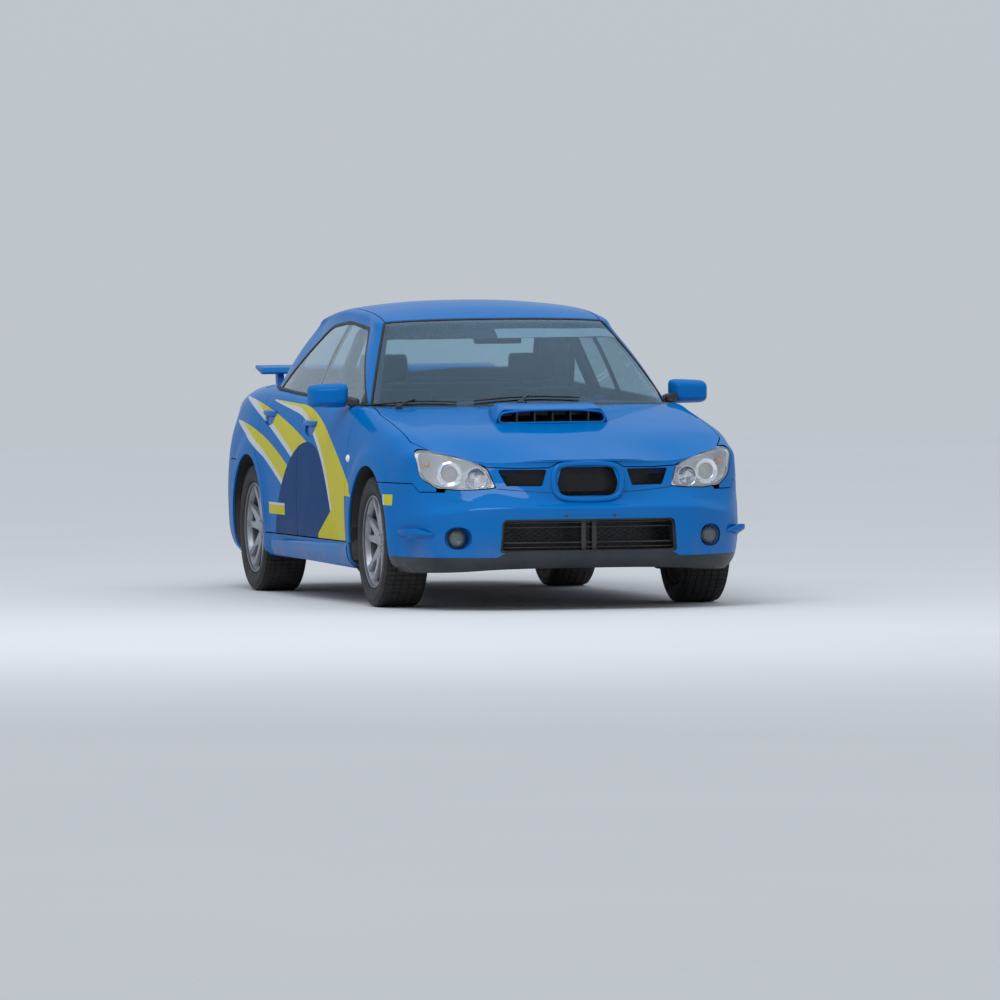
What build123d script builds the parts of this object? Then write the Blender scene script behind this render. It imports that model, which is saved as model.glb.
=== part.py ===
from build123d import *
from math import cos, radians, sin
import os

# Four-door rally saloon, full size, in millimetres.
#
# The nose points to -Y, the car's left side is +X and +Z is up. The origin is on the ground, under the middle
# of the overall length. The body is a skin that three outlines cut: a side view, a plan and a cross-section.
# Each panel is a piece of that skin, cut out along its shut lines.

# Driving dimensions
LENGTH = 4465.0
HALF_WIDTH = 870.0
HEIGHT = 1440.0
WHEELBASE = 2525.0
FRONT_OVERHANG = 905.0
TRACK_FRONT = 1485.0
TRACK_REAR = 1480.0
TYRE_RADIUS = 312.5
TYRE_WIDTH = 215.0
RIM_RADIUS = 219.0

NOSE_Y = -LENGTH / 2
TAIL_Y = LENGTH / 2
FRONT_AXLE_Y = NOSE_Y + FRONT_OVERHANG
REAR_AXLE_Y = FRONT_AXLE_Y + WHEELBASE
AXLE_Z = TYRE_RADIUS
ARCH_RADIUS = 362.0
ARCH_Z = 322.0
DOOR_ARCH_RADIUS = 405.0

# Wall thicknesses, measured in from the outer skin
SKIN = 20.0
FRAME_WALL = 45.0
DOOR_WALL = 62.0
PILLAR_OUT = 68.0
PILLAR_IN = 110.0
GLASS = 5.0

# Shut gaps
GAP = 6.0
INNER_GAP = 22.0
GLASS_GAP = 8.0
GLASS_REAR_GAP = 13.0

# Heights
SILL_BOTTOM = 190.0
DOOR_BOTTOM = 300.0
BELT_FRONT = (-880.0, 945.0)
BELT_REAR = (1010.0, 1003.0)
DEEP = -400.0
HIGH = 1700.0
WIDE = 1100.0

# Side view of the lower body: along, height, corner radius
LOWER_SIDE = [
    (-2150.0, DEEP, 0.0),
    (-2150.0, 190.0, 40.0),
    (-2232.5, 300.0, 90.0),
    (-2232.5, 500.0, 140.0),
    (-2160.0, 700.0, 45.0),
    (-1650.0, 850.0, 900.0),
    (-1040.0, 957.0, 600.0),
    (1345.0, 1044.0, 500.0),
    (2110.0, 1008.0, 45.0),
    (2160.0, 900.0, 200.0),
    (2232.5, 600.0, 150.0),
    (2232.5, 330.0, 90.0),
    (2160.0, 215.0, 40.0),
    (2160.0, DEEP, 0.0),
]
# Plan of the lower body, left half: across, along, corner radius
LOWER_PLAN = [
    (400.0, -2238.0, 400.0),
    (700.0, -2090.0, 260.0),
    (830.0, -1800.0, 400.0),
    (870.0, -1450.0, 900.0),
    (870.0, 1450.0, 900.0),
    (815.0, 1900.0, 300.0),
    (690.0, 2130.0, 200.0),
    (350.0, 2238.0, 400.0),
]
# Cross-section of the lower body, left half: across, height, corner radius
LOWER_SECTION = [
    (785.0, DEEP, 0.0),
    (785.0, 150.0, 60.0),
    (868.0, 300.0, 160.0),
    (870.0, 560.0, 500.0),
    (850.0, 760.0, 300.0),
    (797.0, 935.0, 70.0),
    (560.0, 1062.0, 200.0),
    (300.0, 1085.0, 300.0),
]
# Cross-section of the glasshouse, left half. The crown's fillet ends at the overall height
ROOF_CROWN = 4000.0
ROOF_APEX = HEIGHT + 1.744
CABIN_SECTION = [
    (830.0, 780.0, 0.0),
    (585.0, 1350.0, 110.0),
    (330.0, 1432.0, 500.0),
    (0.0, ROOF_APEX, ROOF_CROWN),
]
# Side view of the roof: along, height, corner radius
ROOF_SIDE = [
    (-1600.0, 700.0, 0.0),
    (-1600.0, 1180.0, 0.0),
    (-330.0, 1372.0, 700.0),
    (190.0, 1454.0, 1500.0),
    (830.0, 1392.0, 900.0),
    (1900.0, 1180.0, 0.0),
    (1900.0, 700.0, 0.0),
]
# Windscreen and rear window: base height, base at the middle and at the corner (across, along), rise per run
SCREEN_Z = 940.0
SCREEN_Y = -1062.0
SCREEN_CORNER = (690.0, -940.0)
SCREEN_RISE = 0.572
BACKLIGHT_Z = 1042.0
BACKLIGHT_Y = 1352.0
BACKLIGHT_CORNER = (600.0, 1270.0)
BACKLIGHT_RISE = 0.649


def belt(along):
    """Height of the waist line, where the door skins end."""
    share = (along - BELT_FRONT[0]) / (BELT_REAR[0] - BELT_FRONT[0])
    return BELT_FRONT[1] + share * (BELT_REAR[1] - BELT_FRONT[1])


# Outlines and slabs

def flat(rows, inset=0.0):
    """A flat face from rows of (across, up, corner radius), moved in by an inset."""
    line = FilletPolyline(*[(a, b) for a, b, _ in rows], radius=[r for _, _, r in rows], close=True)
    face = make_face(line)
    return offset(face, amount=-inset, kind=Kind.INTERSECTION) if inset else face


def both_sides(rows):
    """Rows of a left half, with their mirror image. A row on the middle line isn't doubled."""
    return rows + [(-a, b, r) for a, b, r in reversed(rows) if a > 0]


def slab(face, plane, low, high):
    """The face pulled from low to high along a plane's normal."""
    return extrude(plane.offset(low) * face, amount=high - low)


def side_slab(rows, low=0.0, high=WIDE, inset=0.0):
    """Seen from the side: rows of (along, height, radius), from x low to x high."""
    return slab(flat(rows, inset), Plane.YZ, low, high)


def plan_slab(rows, low, high, inset=0.0):
    """Seen from above: rows of (across, along, radius), between two heights."""
    return slab(flat(rows, inset), Plane.XY, low, high)


def front_slab(rows, low, high, inset=0.0):
    """Seen from the front: rows of (across, height, radius), between two places along the car."""
    return slab(flat(rows, inset), Plane.XZ, -high, -low)


def block(x, y, z):
    """A box between two values on each axis."""
    size = (x[1] - x[0], y[1] - y[0], z[1] - z[0])
    return Pos((x[0] + x[1]) / 2, (y[0] + y[1]) / 2, (z[0] + z[1]) / 2) * Box(*size)


def rod(start, end, radius):
    """A round bar between two points."""
    a, b = Vector(*start), Vector(*end)
    return extrude(Plane(origin=a, z_dir=b - a) * Circle(radius), amount=(b - a).length)


def drum(along, height, radius, low=-WIDE, high=WIDE):
    """A cylinder lying across the car."""
    return extrude(Plane.YZ.offset(low) * Pos(along, height) * Circle(radius), amount=high - low)


def mirrored(shape):
    return mirror(shape, about=Plane.YZ)


def pair(shape):
    """A left piece with its right twin."""
    return Compound(children=[*solids_of(shape), *solids_of(mirrored(shape))])


def solids_of(shape):
    return list(shape.solids())


def largest(shape):
    """The biggest solid, without crumbs that a cut leaves."""
    return max(solids_of(shape), key=lambda s: s.volume)


def big(shape, least=20000.0):
    """The solids over a least volume, as one compound."""
    kept = [s for s in solids_of(shape) if s.volume > least]
    return kept[0] if len(kept) == 1 else Compound(children=kept)


# The body skin

def arc_prism(base_z, middle_y, corner, rise, back, inset):
    """All that lies behind a curved screen (back = +1) or ahead of one (back = -1), leaning by rise."""
    shift = back * inset * (1 + rise * rise) ** 0.5 / rise
    far = middle_y + back * 3200.0 + shift
    curve = ThreePointArc(
        (-corner[0] * 1.45, middle_y + shift + (corner[1] - middle_y) * 2.1),
        (0, middle_y + shift),
        (corner[0] * 1.45, middle_y + shift + (corner[1] - middle_y) * 2.1),
    )
    ends = (curve @ 1, curve @ 0)
    around = Polyline(ends[0], (ends[0].X, far), (ends[1].X, far), ends[1])
    face = make_face(curve + around)
    drop = 400.0
    climb = Vector(0, back / rise, 1)
    start = Pos(0, -climb.Y * drop, base_z - drop) * face
    return extrude(start, amount=climb.length * 1300.0, dir=climb.normalized())


def lower_body(inset):
    side = side_slab(LOWER_SIDE, -WIDE, WIDE, inset)
    plan = plan_slab(both_sides(LOWER_PLAN), DEEP, HIGH, inset)
    section = front_slab(both_sides(LOWER_SECTION), -2600, 2600, inset)
    return side & plan & section


def cabin(inset):
    section = front_slab(both_sides(CABIN_SECTION), -2000, 2200, inset)
    roof = side_slab(ROOF_SIDE, -WIDE, WIDE, inset)
    screen = arc_prism(SCREEN_Z, SCREEN_Y, SCREEN_CORNER, SCREEN_RISE, 1, inset)
    backlight = arc_prism(BACKLIGHT_Z, BACKLIGHT_Y, BACKLIGHT_CORNER, BACKLIGHT_RISE, -1, inset)
    return section & roof & screen & backlight


def body(inset):
    return lower_body(inset) + cabin(inset)


INSETS = (0.0, SKIN, FRAME_WALL, DOOR_WALL, PILLAR_OUT, PILLAR_IN)
BODY = {inset: body(inset) for inset in INSETS}


def shell(outer, inner):
    return BODY[outer] - BODY[inner]


SKIN_SHELL = shell(0.0, SKIN)
FRAME_SHELL = shell(0.0, FRAME_WALL)
DOOR_SHELL = shell(0.0, DOOR_WALL)

# Shut lines

FRONT_DOOR = [
    (-853.0, DOOR_BOTTOM, 12.0),
    (146.0, DOOR_BOTTOM, 12.0),
    (146.0, belt(146.0), 0.0),
    (-880.0, belt(-880.0), 0.0),
]
REAR_DOOR = [
    (150.0, DOOR_BOTTOM, 12.0),
    (1030.0, DOOR_BOTTOM, 0.0),
    (1030.0, belt(1030.0), 0.0),
    (150.0, belt(150.0), 0.0),
]
# Daylight opening of both side windows
WINDOWS = [
    (-858.0, belt(-858.0), 0.0),
    (-235.0, 1318.0, 130.0),
    (150.0, 1346.0, 1200.0),
    (500.0, 1318.0, 300.0),
    (1012.0, belt(1012.0), 0.0),
]
# Bonnet, left half, seen from above
BONNET_EDGE = [
    (728.0, -958.0, 0.0),
    (712.0, -1500.0, 600.0),
    (690.0, -1880.0, 60.0),
    (465.0, -2085.0, 60.0),
    (205.0, -2128.0, 40.0),
    (165.0, -2150.0, 30.0),
]
BONNET_REAR_MIDDLE = -1112.0
# Windscreen, roof panel, rear window and boot lid, left halves seen from above
SCREEN_EDGE = [(700.0, -1300.0, 0.0), (712.0, -905.0, 0.0), (538.0, -352.0, 0.0)]
ROOF_EDGE = [(538.0, -352.0, 0.0), (538.0, 822.0, 0.0)]
BACKLIGHT_EDGE = [(538.0, 822.0, 0.0), (622.0, 1275.0, 0.0), (622.0, 1352.0, 0.0)]
BOOT_EDGE = [(610.0, 1392.0, 30.0), (640.0, 1800.0, 300.0), (585.0, 2062.0, 40.0), (585.0, 2300.0, 0.0)]
BOOT_LID_BOTTOM = 715.0
# Headlamp and tail lamp, left, seen from the front: across, height, radius
HEADLAMP = [
    (428.0, 583.0, 8.0),
    (560.0, 578.0, 80.0),
    (650.0, 568.0, 80.0),
    (770.0, 625.0, 60.0),
    (900.0, 700.0, 0.0),
    (900.0, 850.0, 0.0),
    (470.0, 850.0, 0.0),
    (462.0, 690.0, 30.0),
]
TAIL_LAMP = [(500.0, 735.0, 15.0), (900.0, 722.0, 0.0), (900.0, 905.0, 0.0), (560.0, 912.0, 20.0)]
BUMPER_TOP_SIDE = 602.0
REAR_BUMPER_TOP = 640.0

BONNET_CORNER = (728.0, -958.0)
bonnet_arc = ThreePointArc((-BONNET_CORNER[0], BONNET_CORNER[1]), (0, BONNET_REAR_MIDDLE), BONNET_CORNER)
bonnet_rear = make_face(
    bonnet_arc
    + Polyline(
        BONNET_CORNER,
        (BONNET_CORNER[0], -700),
        (-BONNET_CORNER[0], -700),
        (-BONNET_CORNER[0], BONNET_CORNER[1]),
    )
)
BONNET_OPENING = plan_slab(both_sides(BONNET_EDGE), 560, 1250) - slab(bonnet_rear, Plane.XY, 500, 1300)
BOOT_OPENING = plan_slab(both_sides(BOOT_EDGE), BOOT_LID_BOTTOM, 1300)
MIDDLE = (
    plan_slab(both_sides(SCREEN_EDGE), 900, HIGH)
    + plan_slab(both_sides(ROOF_EDGE), 900, HIGH)
    + plan_slab(both_sides(BACKLIGHT_EDGE), 900, HIGH)
)
WHEEL_SPACE = drum(FRONT_AXLE_Y, ARCH_Z, ARCH_RADIUS) + drum(REAR_AXLE_Y, ARCH_Z, ARCH_RADIUS)


def door_opening(rows, inset=0.0):
    """A door's opening in side view. The rear one follows the wheel arch."""
    opening = side_slab(rows, 300, WIDE, inset)
    return opening - drum(REAR_AXLE_Y, ARCH_Z, DOOR_ARCH_RADIUS + inset)


OPENINGS = {"front": door_opening(FRONT_DOOR), "rear": door_opening(REAR_DOOR)}
WINDOW_OPENING = side_slab(WINDOWS, 300, WIDE)


def door(name, rows):
    """Outer skin to the shut line, and a thicker inner part set back from it."""
    skin = SKIN_SHELL & door_opening(rows, GAP)
    inner = DOOR_SHELL & door_opening(rows, INNER_GAP)
    return largest(skin + inner)


PANE_SET_BACK = 3.0
PANE_SHEET = cabin(PANE_SET_BACK) - cabin(PANE_SET_BACK + GLASS)


def window(front, rear, rear_gap):
    """One side window: a thin slice of the cabin skin between two leaning lines."""
    sheet = PANE_SHEET & block((300, WIDE), (-1500, 1500), (930, 1500))
    strip_rows = [
        (front[0], 900, 0),
        (rear[0] - rear_gap, 900, 0),
        (rear[1] - rear_gap, 1400, 0),
        (front[1], 1400, 0),
    ]
    strip = side_slab(strip_rows, 300, WIDE)
    above_rows = [(-1500, belt(-1500) + 1, 0), (1500, belt(1500) + 1, 0), (1500, 1500, 0), (-1500, 1500, 0)]
    above_belt = side_slab(above_rows, 300, WIDE)
    daylight_rows = [(a, b if b > 1100 else b - 60, r) for a, b, r in WINDOWS]
    daylight = side_slab(daylight_rows, 300, WIDE, GLASS_GAP)
    return largest(sheet & daylight & strip & above_belt)


parts = {}

# Doors, with their glass and mirrors

for name, rows in (("front", FRONT_DOOR), ("rear", REAR_DOOR)):
    left = door(name, rows)
    parts[f"{name}_door_left"] = left
    parts[f"{name}_door_right"] = mirrored(left)
front_glass = window((-1200.0, -1200.0), (146.0, 192.0), GAP)
rear_glass = window((150.0 + GAP, 196.0 + GAP), (1012.0, 1012.0), GLASS_REAR_GAP)
for name, pane in (("front", front_glass), ("rear", rear_glass)):
    parts[f"{name}_door_glass_left"] = pane
    parts[f"{name}_door_glass_right"] = mirrored(pane)

MIRROR = [
    (798.0, 945.0, 30.0),
    (965.0, 938.0, 40.0),
    (992.0, 985.0, 50.0),
    (985.0, 1050.0, 40.0),
    (810.0, 1058.0, 30.0),
]
mirror_shell = front_slab(MIRROR, -735, -620)
mirror_arm = block((770, 830), (-700, -650), (belt(-680) + 2, 985))
mirror_piece = largest((mirror_shell + mirror_arm) - BODY[0.0] - (OPENINGS["front"] & DOOR_SHELL))
parts["mirror_left"] = mirror_piece
parts["mirror_right"] = mirrored(mirror_piece)

# Fixed side structure

sill = shell(0.0, PILLAR_IN) & block((300, WIDE), (-955, 812), (SILL_BOTTOM, DOOR_BOTTOM - 1))
hinge_post = (BODY[SKIN] - BODY[PILLAR_IN]) & block((300, WIDE), (-955, -872), (SILL_BOTTOM, 925))
hinge_post = hinge_post - block((300, WIDE), (-865, -800), (280, 960))
centre_post = (BODY[PILLAR_OUT] - BODY[PILLAR_IN]) & side_slab(
    [(100, 280, 0), (205, 280, 0), (235, 1400, 0), (160, 1400, 0)], 300, WIDE
)
rail = (FRAME_SHELL & block((300, WIDE), (-1060, 1500), (925, HIGH))) - WINDOW_OPENING - MIDDLE
rail = rail - OPENINGS["front"] - OPENINGS["rear"] - BONNET_OPENING - BOOT_OPENING
below_belt = [
    (-1500, 500, 0),
    (1800, 500, 0),
    (1800, 985, 0),
    (1012, 985, 0),
    (-858, 925, 0),
    (-1500, 925, 0),
]
belt_cut = side_slab(below_belt, 300, WIDE)
rail_shape = rail - belt_cut
inner_rail = (BODY[FRAME_WALL] - BODY[PILLAR_IN]) & side_slab(
    [(60, 1335, 0), (330, 1335, 0), (330, 1430, 0), (60, 1430, 0)], 480, WIDE
)
hinge_post = hinge_post - rail_shape - sill
centre_post = centre_post - sill
header = (rail_shape + inner_rail) - centre_post
parts["sills"] = pair(largest(sill))
posts = [solid for post in (hinge_post, centre_post) for solid in solids_of(pair(largest(post)))]
parts["door_posts"] = Compound(children=posts)
parts["roof_rails"] = pair(largest(header))
SIDES = ("sills", "door_posts", "roof_rails")


def without(shape, names):
    """The shape less other pieces, so that they only touch."""
    for other in names:
        shape = shape - parts[other]
    return shape


# Fenders, quarters and bumpers

FRONT_BUMPER_SIDE = [
    (-2600, 100, 0),
    (-1500, 100, 0),
    (-1500, BUMPER_TOP_SIDE, 0),
    (-1905, BUMPER_TOP_SIDE, 0),
    (-1905, 560, 0),
    (-1990, 560, 0),
    (-1990, 900, 0),
    (-2600, 900, 0),
]
bumper_front_region = side_slab(FRONT_BUMPER_SIDE, -WIDE, WIDE)
lamp_left = front_slab(HEADLAMP, -2400, -1760)
lamps_front = lamp_left + mirrored(lamp_left)
FENDER_SIDE = [
    (-2150, DOOR_BOTTOM - 1, 0),
    (-853, DOOR_BOTTOM - 1, 0),
    (-880, 950, 0),
    (-880, 1000, 0),
    (-2150, 1000, 0),
]
fender_region = side_slab(FENDER_SIDE, 300, WIDE)
fender = (SKIN_SHELL & fender_region) - bumper_front_region - lamp_left - BONNET_OPENING - WHEEL_SPACE
fender = fender - block((0, 735), (-1500, -800), (600, 1200)) - OPENINGS["front"] - WINDOW_OPENING - MIDDLE
fender = fender - block((0, WIDE), (-2600, -1560), (0, 560))
parts["front_fenders"] = pair(largest(fender - rail_shape))

quarter_region = block((300, WIDE), (600, 2210), (SILL_BOTTOM, 1100))
REAR_BUMPER_SIDE = [
    (1500, 100, 0),
    (2600, 100, 0),
    (2600, REAR_BUMPER_TOP + 60, 0),
    (2120, REAR_BUMPER_TOP + 60, 0),
    (2060, REAR_BUMPER_TOP, 0),
    (1500, REAR_BUMPER_TOP, 0),
]
rear_bumper_region = side_slab(REAR_BUMPER_SIDE, -WIDE, WIDE)
tail_left = front_slab(TAIL_LAMP, 1980, 2400)
quarter = (SKIN_SHELL & quarter_region) - OPENINGS["rear"] - WHEEL_SPACE - rear_bumper_region - tail_left
quarter = quarter - BOOT_OPENING - rail_shape - MIDDLE - WINDOW_OPENING
quarter = quarter - block((0, WIDE), (0, 812), (0, 1100)) - block((0, 585), (1300, 2400), (700, 1200))
parts["rear_quarters"] = pair(largest(quarter))

LOWER_INTAKE = [(415.0, 425.0, 25.0), (432.0, 285.0, 15.0)]
CENTRE_GRILLE = [(128.0, 690.0, 30.0), (148.0, 640.0, 60.0), (140.0, 545.0, 30.0)]
SIDE_GRILLE = [(210.0, 664.0, 8.0), (212.0, 598.0, 10.0), (372.0, 603.0, 10.0), (408.0, 668.0, 8.0)]
FOG_X, FOG_Z, FOG_RADIUS = 624.0, 348.0, 62.0
LIP_TOP_MIDDLE, LIP_TOP_SIDE = 284.0, 228.0
LIP_STEP_X = 445.0
LIP = [
    (LIP_STEP_X, LIP_TOP_MIDDLE, 0.0),
    (LIP_STEP_X + 40.0, LIP_TOP_SIDE, 20.0),
    (WIDE, LIP_TOP_SIDE, 0.0),
    (WIDE, 178.0, 0.0),
    (LIP_STEP_X + 60.0, 178.0, 60.0),
    (LIP_STEP_X - 60.0, 200.0, 60.0),
]
fog_left = extrude(Plane.XZ.offset(1700) * Pos(FOG_X, FOG_Z) * Circle(FOG_RADIUS), amount=800)
openings_front = (
    front_slab(both_sides(LOWER_INTAKE), -2400, -1900)
    + front_slab(both_sides(CENTRE_GRILLE), -2400, -1950)
    + front_slab(SIDE_GRILLE, -2400, -1950)
    + mirrored(front_slab(SIDE_GRILLE, -2400, -1950))
    + fog_left
    + mirrored(fog_left)
)
lip_region = front_slab(both_sides(LIP), -2400, -1560)
bumper = (SKIN_SHELL & bumper_front_region & block((-WIDE, WIDE), (-2600, -1500), (200, 900)))
bumper = bumper - lamps_front - BONNET_OPENING - WHEEL_SPACE - openings_front - lip_region
PLATE_HOLE_X, PLATE_Z, PLATE_HOLE_R = 117.0, 450.0, 3.0
for hole_x in (-PLATE_HOLE_X, PLATE_HOLE_X):
    bumper = bumper - extrude(Plane.XZ.offset(2000) * Pos(hole_x, PLATE_Z) * Circle(PLATE_HOLE_R), amount=400)
parts["front_bumper"] = big(bumper, 300000)
parts["front_lip"] = big((SKIN_SHELL & lip_region) - WHEEL_SPACE, 100000)

GRILLE_SET_BACK = 8.0
GRILLE_WALL = 12.0
grille_band = lower_body(SKIN + GRILLE_SET_BACK) - lower_body(SKIN + GRILLE_SET_BACK + GRILLE_WALL)
side_mesh = front_slab(SIDE_GRILLE, -2400, -1950)
mesh_front = front_slab(both_sides(CENTRE_GRILLE), -2400, -1950) + side_mesh + mirrored(side_mesh)
mesh_front = mesh_front + block((-430, 430), (-2400, -1950), (590, 605))
parts["upper_grille"] = big(grille_band & mesh_front & block((-WIDE, WIDE), (-2400, -1900), (400, 800)), 3000)
lower_frame = front_slab(both_sides([(440.0, 432.0, 20.0), (450.0, 285.0, 10.0)]), -2400, -1900)
lower_holes = front_slab([(40, 305, 8), (400, 305, 8), (390, 395, 8), (40, 395, 8)], -2400, -1900)
parts["lower_grille"] = largest((grille_band & lower_frame) - lower_holes - mirrored(lower_holes))

lamp_solid = (BODY[0.0] - lower_body(PILLAR_IN)) & lamp_left
lamp_solid = lamp_solid - BONNET_OPENING - WHEEL_SPACE
parts["headlamps"] = pair(largest(lamp_solid))
fog = extrude(Plane.XZ.offset(1980) * Pos(FOG_X, FOG_Z) * Circle(FOG_RADIUS - 8.0), amount=120)
fog = fog & lower_body(SKIN)
parts["fog_lamps"] = pair(largest(fog))

rear_bumper = SKIN_SHELL & rear_bumper_region & block((-WIDE, WIDE), (1500, 2600), (235, 900))
rear_bumper = rear_bumper - WHEEL_SPACE - BOOT_OPENING
parts["rear_bumper"] = big(rear_bumper, 300000)
tail = ((BODY[0.0] - lower_body(DOOR_WALL)) & tail_left) - BOOT_OPENING
parts["tail_lamps"] = pair(largest(tail))

# Bonnet, boot lid, roof and fixed glass

bonnet_cut = plan_slab(both_sides(BONNET_EDGE), 560, 1250, GAP)
bonnet_cut = bonnet_cut - slab(Pos(0, -GAP - 14.0) * bonnet_rear, Plane.XY, 500, 1300)
bonnet = lower_body(0.0) - lower_body(SKIN)
bonnet = largest(bonnet & bonnet_cut & block((-WIDE, WIDE), (-2155, -900), (640, 1200)))
SCOOP_X, SCOOP_FRONT, SCOOP_REAR = 290.0, -1530.0, -1130.0
SCOOP_SIDE = [
    (SCOOP_FRONT, 800.0, 0.0),
    (SCOOP_FRONT, 938.0, 12.0),
    (SCOOP_FRONT + 110.0, 976.0, 300.0),
    (SCOOP_REAR, 948.0, 0.0),
    (SCOOP_REAR, 800.0, 0.0),
]
SCOOP_PLAN = [(255.0, SCOOP_FRONT, 30.0), (SCOOP_X, SCOOP_FRONT + 60.0, 80.0), (200.0, SCOOP_REAR, 60.0)]
scoop = side_slab(SCOOP_SIDE, -WIDE, WIDE) & plan_slab(both_sides(SCOOP_PLAN), 700, 1200)
scoop = scoop - lower_body(0.0)
SCOOP_MOUTH = [(245.0, 935.0, 15.0), (258.0, 885.0, 15.0)]
scoop_mouth = front_slab(both_sides(SCOOP_MOUTH), SCOOP_FRONT - 50, SCOOP_FRONT + 180)
scoop = largest(scoop - scoop_mouth)
parts["bonnet"] = bonnet
parts["bonnet_scoop"] = scoop

boot_cut = plan_slab(both_sides(BOOT_EDGE), BOOT_LID_BOTTOM, 1300, GAP)
boot_cut = boot_cut & block((-WIDE, WIDE), (1000, 2600), (BOOT_LID_BOTTOM + GAP, 1300))
boot = largest((lower_body(0.0) - lower_body(SKIN)) & boot_cut)
parts["boot_lid"] = boot

parts["roof_panel"] = largest((BODY[0.0] - BODY[SKIN]) & plan_slab(both_sides(ROOF_EDGE), 1100, HIGH))
glass_sheet = cabin(0.0) - cabin(GLASS)
screen = glass_sheet & plan_slab(both_sides(SCREEN_EDGE), 930, HIGH)
screen = screen & block((-WIDE, WIDE), (-1300, -340), (925, HIGH))
parts["windscreen"] = largest(screen - lower_body(0.0))
backlight = glass_sheet & plan_slab(both_sides(BACKLIGHT_EDGE), 1000, HIGH)
backlight = backlight & block((-WIDE, WIDE), (800, 1400), (1000, HIGH))
parts["rear_window"] = largest(backlight - lower_body(0.0))

# Wing on the boot lid

WING_Z, WING_HALF = 1066.0, 605.0
WING_FOIL = [
    (1985.0, WING_Z - 10.0, 8.0),
    (2020.0, WING_Z + 18.0, 40.0),
    (2165.0, WING_Z + 30.0, 8.0),
    (2165.0, WING_Z + 12.0, 6.0),
    (2030.0, WING_Z - 16.0, 60.0),
]
wing = side_slab(WING_FOIL, -WING_HALF, WING_HALF)
FOOT_FOIL = [(2025, 1000, 0), (2045, WING_Z + 2, 0), (2115, WING_Z + 8, 0), (2095, 1000, 0)]
foot_foil = side_slab(FOOT_FOIL, 482, 518)
feet = (foot_foil + mirrored(foot_foil)) - lower_body(0.0)
parts["rear_wing"] = largest(wing + feet)

# Floor and structure



def upright_drum(x, along, radius, low, high):
    """A cylinder that stands up."""
    return extrude(Plane.XY.offset(low) * Pos(x, along) * Circle(radius), amount=high - low)


TUNNEL_HALF, TUNNEL_TOP = 105.0, 375.0
WHEEL_WELLS = drum(FRONT_AXLE_Y, ARCH_Z, 391.0, 430.0) + drum(REAR_AXLE_Y, ARCH_Z, 372.0, 470.0)
WHEEL_WELLS = WHEEL_WELLS + mirrored(WHEEL_WELLS)
tunnel_space = block((-TUNNEL_HALF, TUNNEL_HALF), (-1200, 1020), (200, TUNNEL_TOP))
floor = block((-735, 735), (-955, 1010), (235, 262))
tunnel = block((-130, 130), (-955, 1010), (262, 400))
bulkhead = block((-690, 690), (-985, -955), (235, 915))
heel = block((-700, 700), (985, 1010), (235, 560))
boot_floor = block((-600, 600), (1010, 2090), (500, 525))
well = upright_drum(0, 1750, 300, 360, 510)
well_space = upright_drum(0, 1750, 282, 380, 580)
tail_panel = block((-600, 600), (2062, 2090), (340, 705))
pan = floor + tunnel + bulkhead + heel - tunnel_space - WHEEL_WELLS
parts["floor_pan"] = largest(without(pan, SIDES))
boot_pan = boot_floor + well + tail_panel - well_space - WHEEL_WELLS
parts["boot_floor"] = largest(without(boot_pan, (*SIDES, "tail_lamps", "rear_quarters", "floor_pan")))
shelf = block((-640, 640), (985, 1330), (1000, 1015))
seat_panel = block((-600, 600), (985, 1010), (560, 1000))
parts["rear_shelf"] = largest(((shelf + seat_panel) & BODY[PILLAR_IN]) - WHEEL_WELLS)

STRUT_X, STRUT_Y, TOWER_FOOT, TOWER_TOP = 548.0, FRONT_AXLE_Y + 10.0, 655.0, 810.0
rails = block((360, 420), (-2060, -985), (420, 520))
tower = upright_drum(STRUT_X, STRUT_Y, 92, TOWER_FOOT, TOWER_TOP)
tower = tower + block((400, STRUT_X), (STRUT_Y - 92, STRUT_Y + 92), (TOWER_FOOT, TOWER_TOP))
tower = tower - upright_drum(STRUT_X, STRUT_Y, 80, 500, TOWER_TOP - 10)
apron = block((400, 420), (-1720, -985), (420, TOWER_TOP))
cross = block((-560, 560), (-2060, -2020), (420, 520)) + block((-560, 560), (-2060, -2030), (640, 668))
uprights = block((520, 560), (-2060, -2030), (420, 668))
radiator = block((-300, 300), (-1990, -1950), (300, 690))
post = block((280, 380), (-2040, -1960), (440, 480))
structure = cross + radiator
for piece in (rails, tower, apron, uprights, post):
    structure = structure + piece + mirrored(piece)
structure = (structure & lower_body(SKIN + 3)) - parts["headlamps"] - parts["upper_grille"]
parts["front_structure"] = largest(structure)

# Wheel housings, dark half-rings inside the skin

LINER_WALL = 6.0


def liner(along, radius, inner_x, low, high):
    """Half-ring over a wheel, from an inner wall out to the skin."""
    ring = drum(along, ARCH_Z, radius + LINER_WALL, inner_x, WIDE)
    ring = ring - drum(along, ARCH_Z, radius, inner_x + 8.0, WIDE)
    ring = ring & block((0, WIDE), (along + low, along + high), (ARCH_Z + 40.0, 1100))
    return (ring & BODY[SKIN]) - drum(along, ARCH_Z, 330.0, 0, inner_x + 20.0)


front_liner = liner(FRONT_AXLE_Y, 384.0, 425.0, -400.0, 400.0)
rear_liner = liner(REAR_AXLE_Y, 365.0, 480.0, -400.0, 400.0)
TAKEN = (*SIDES, "floor_pan", "boot_floor", "front_structure", "headlamps", "rear_shelf")
front_liner = without(front_liner, TAKEN)
rear_liner = without(rear_liner, TAKEN)
liners = [*solids_of(pair(largest(front_liner))), *solids_of(pair(largest(rear_liner)))]
parts["wheel_liners"] = Compound(children=liners)

# Driving gear

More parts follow.
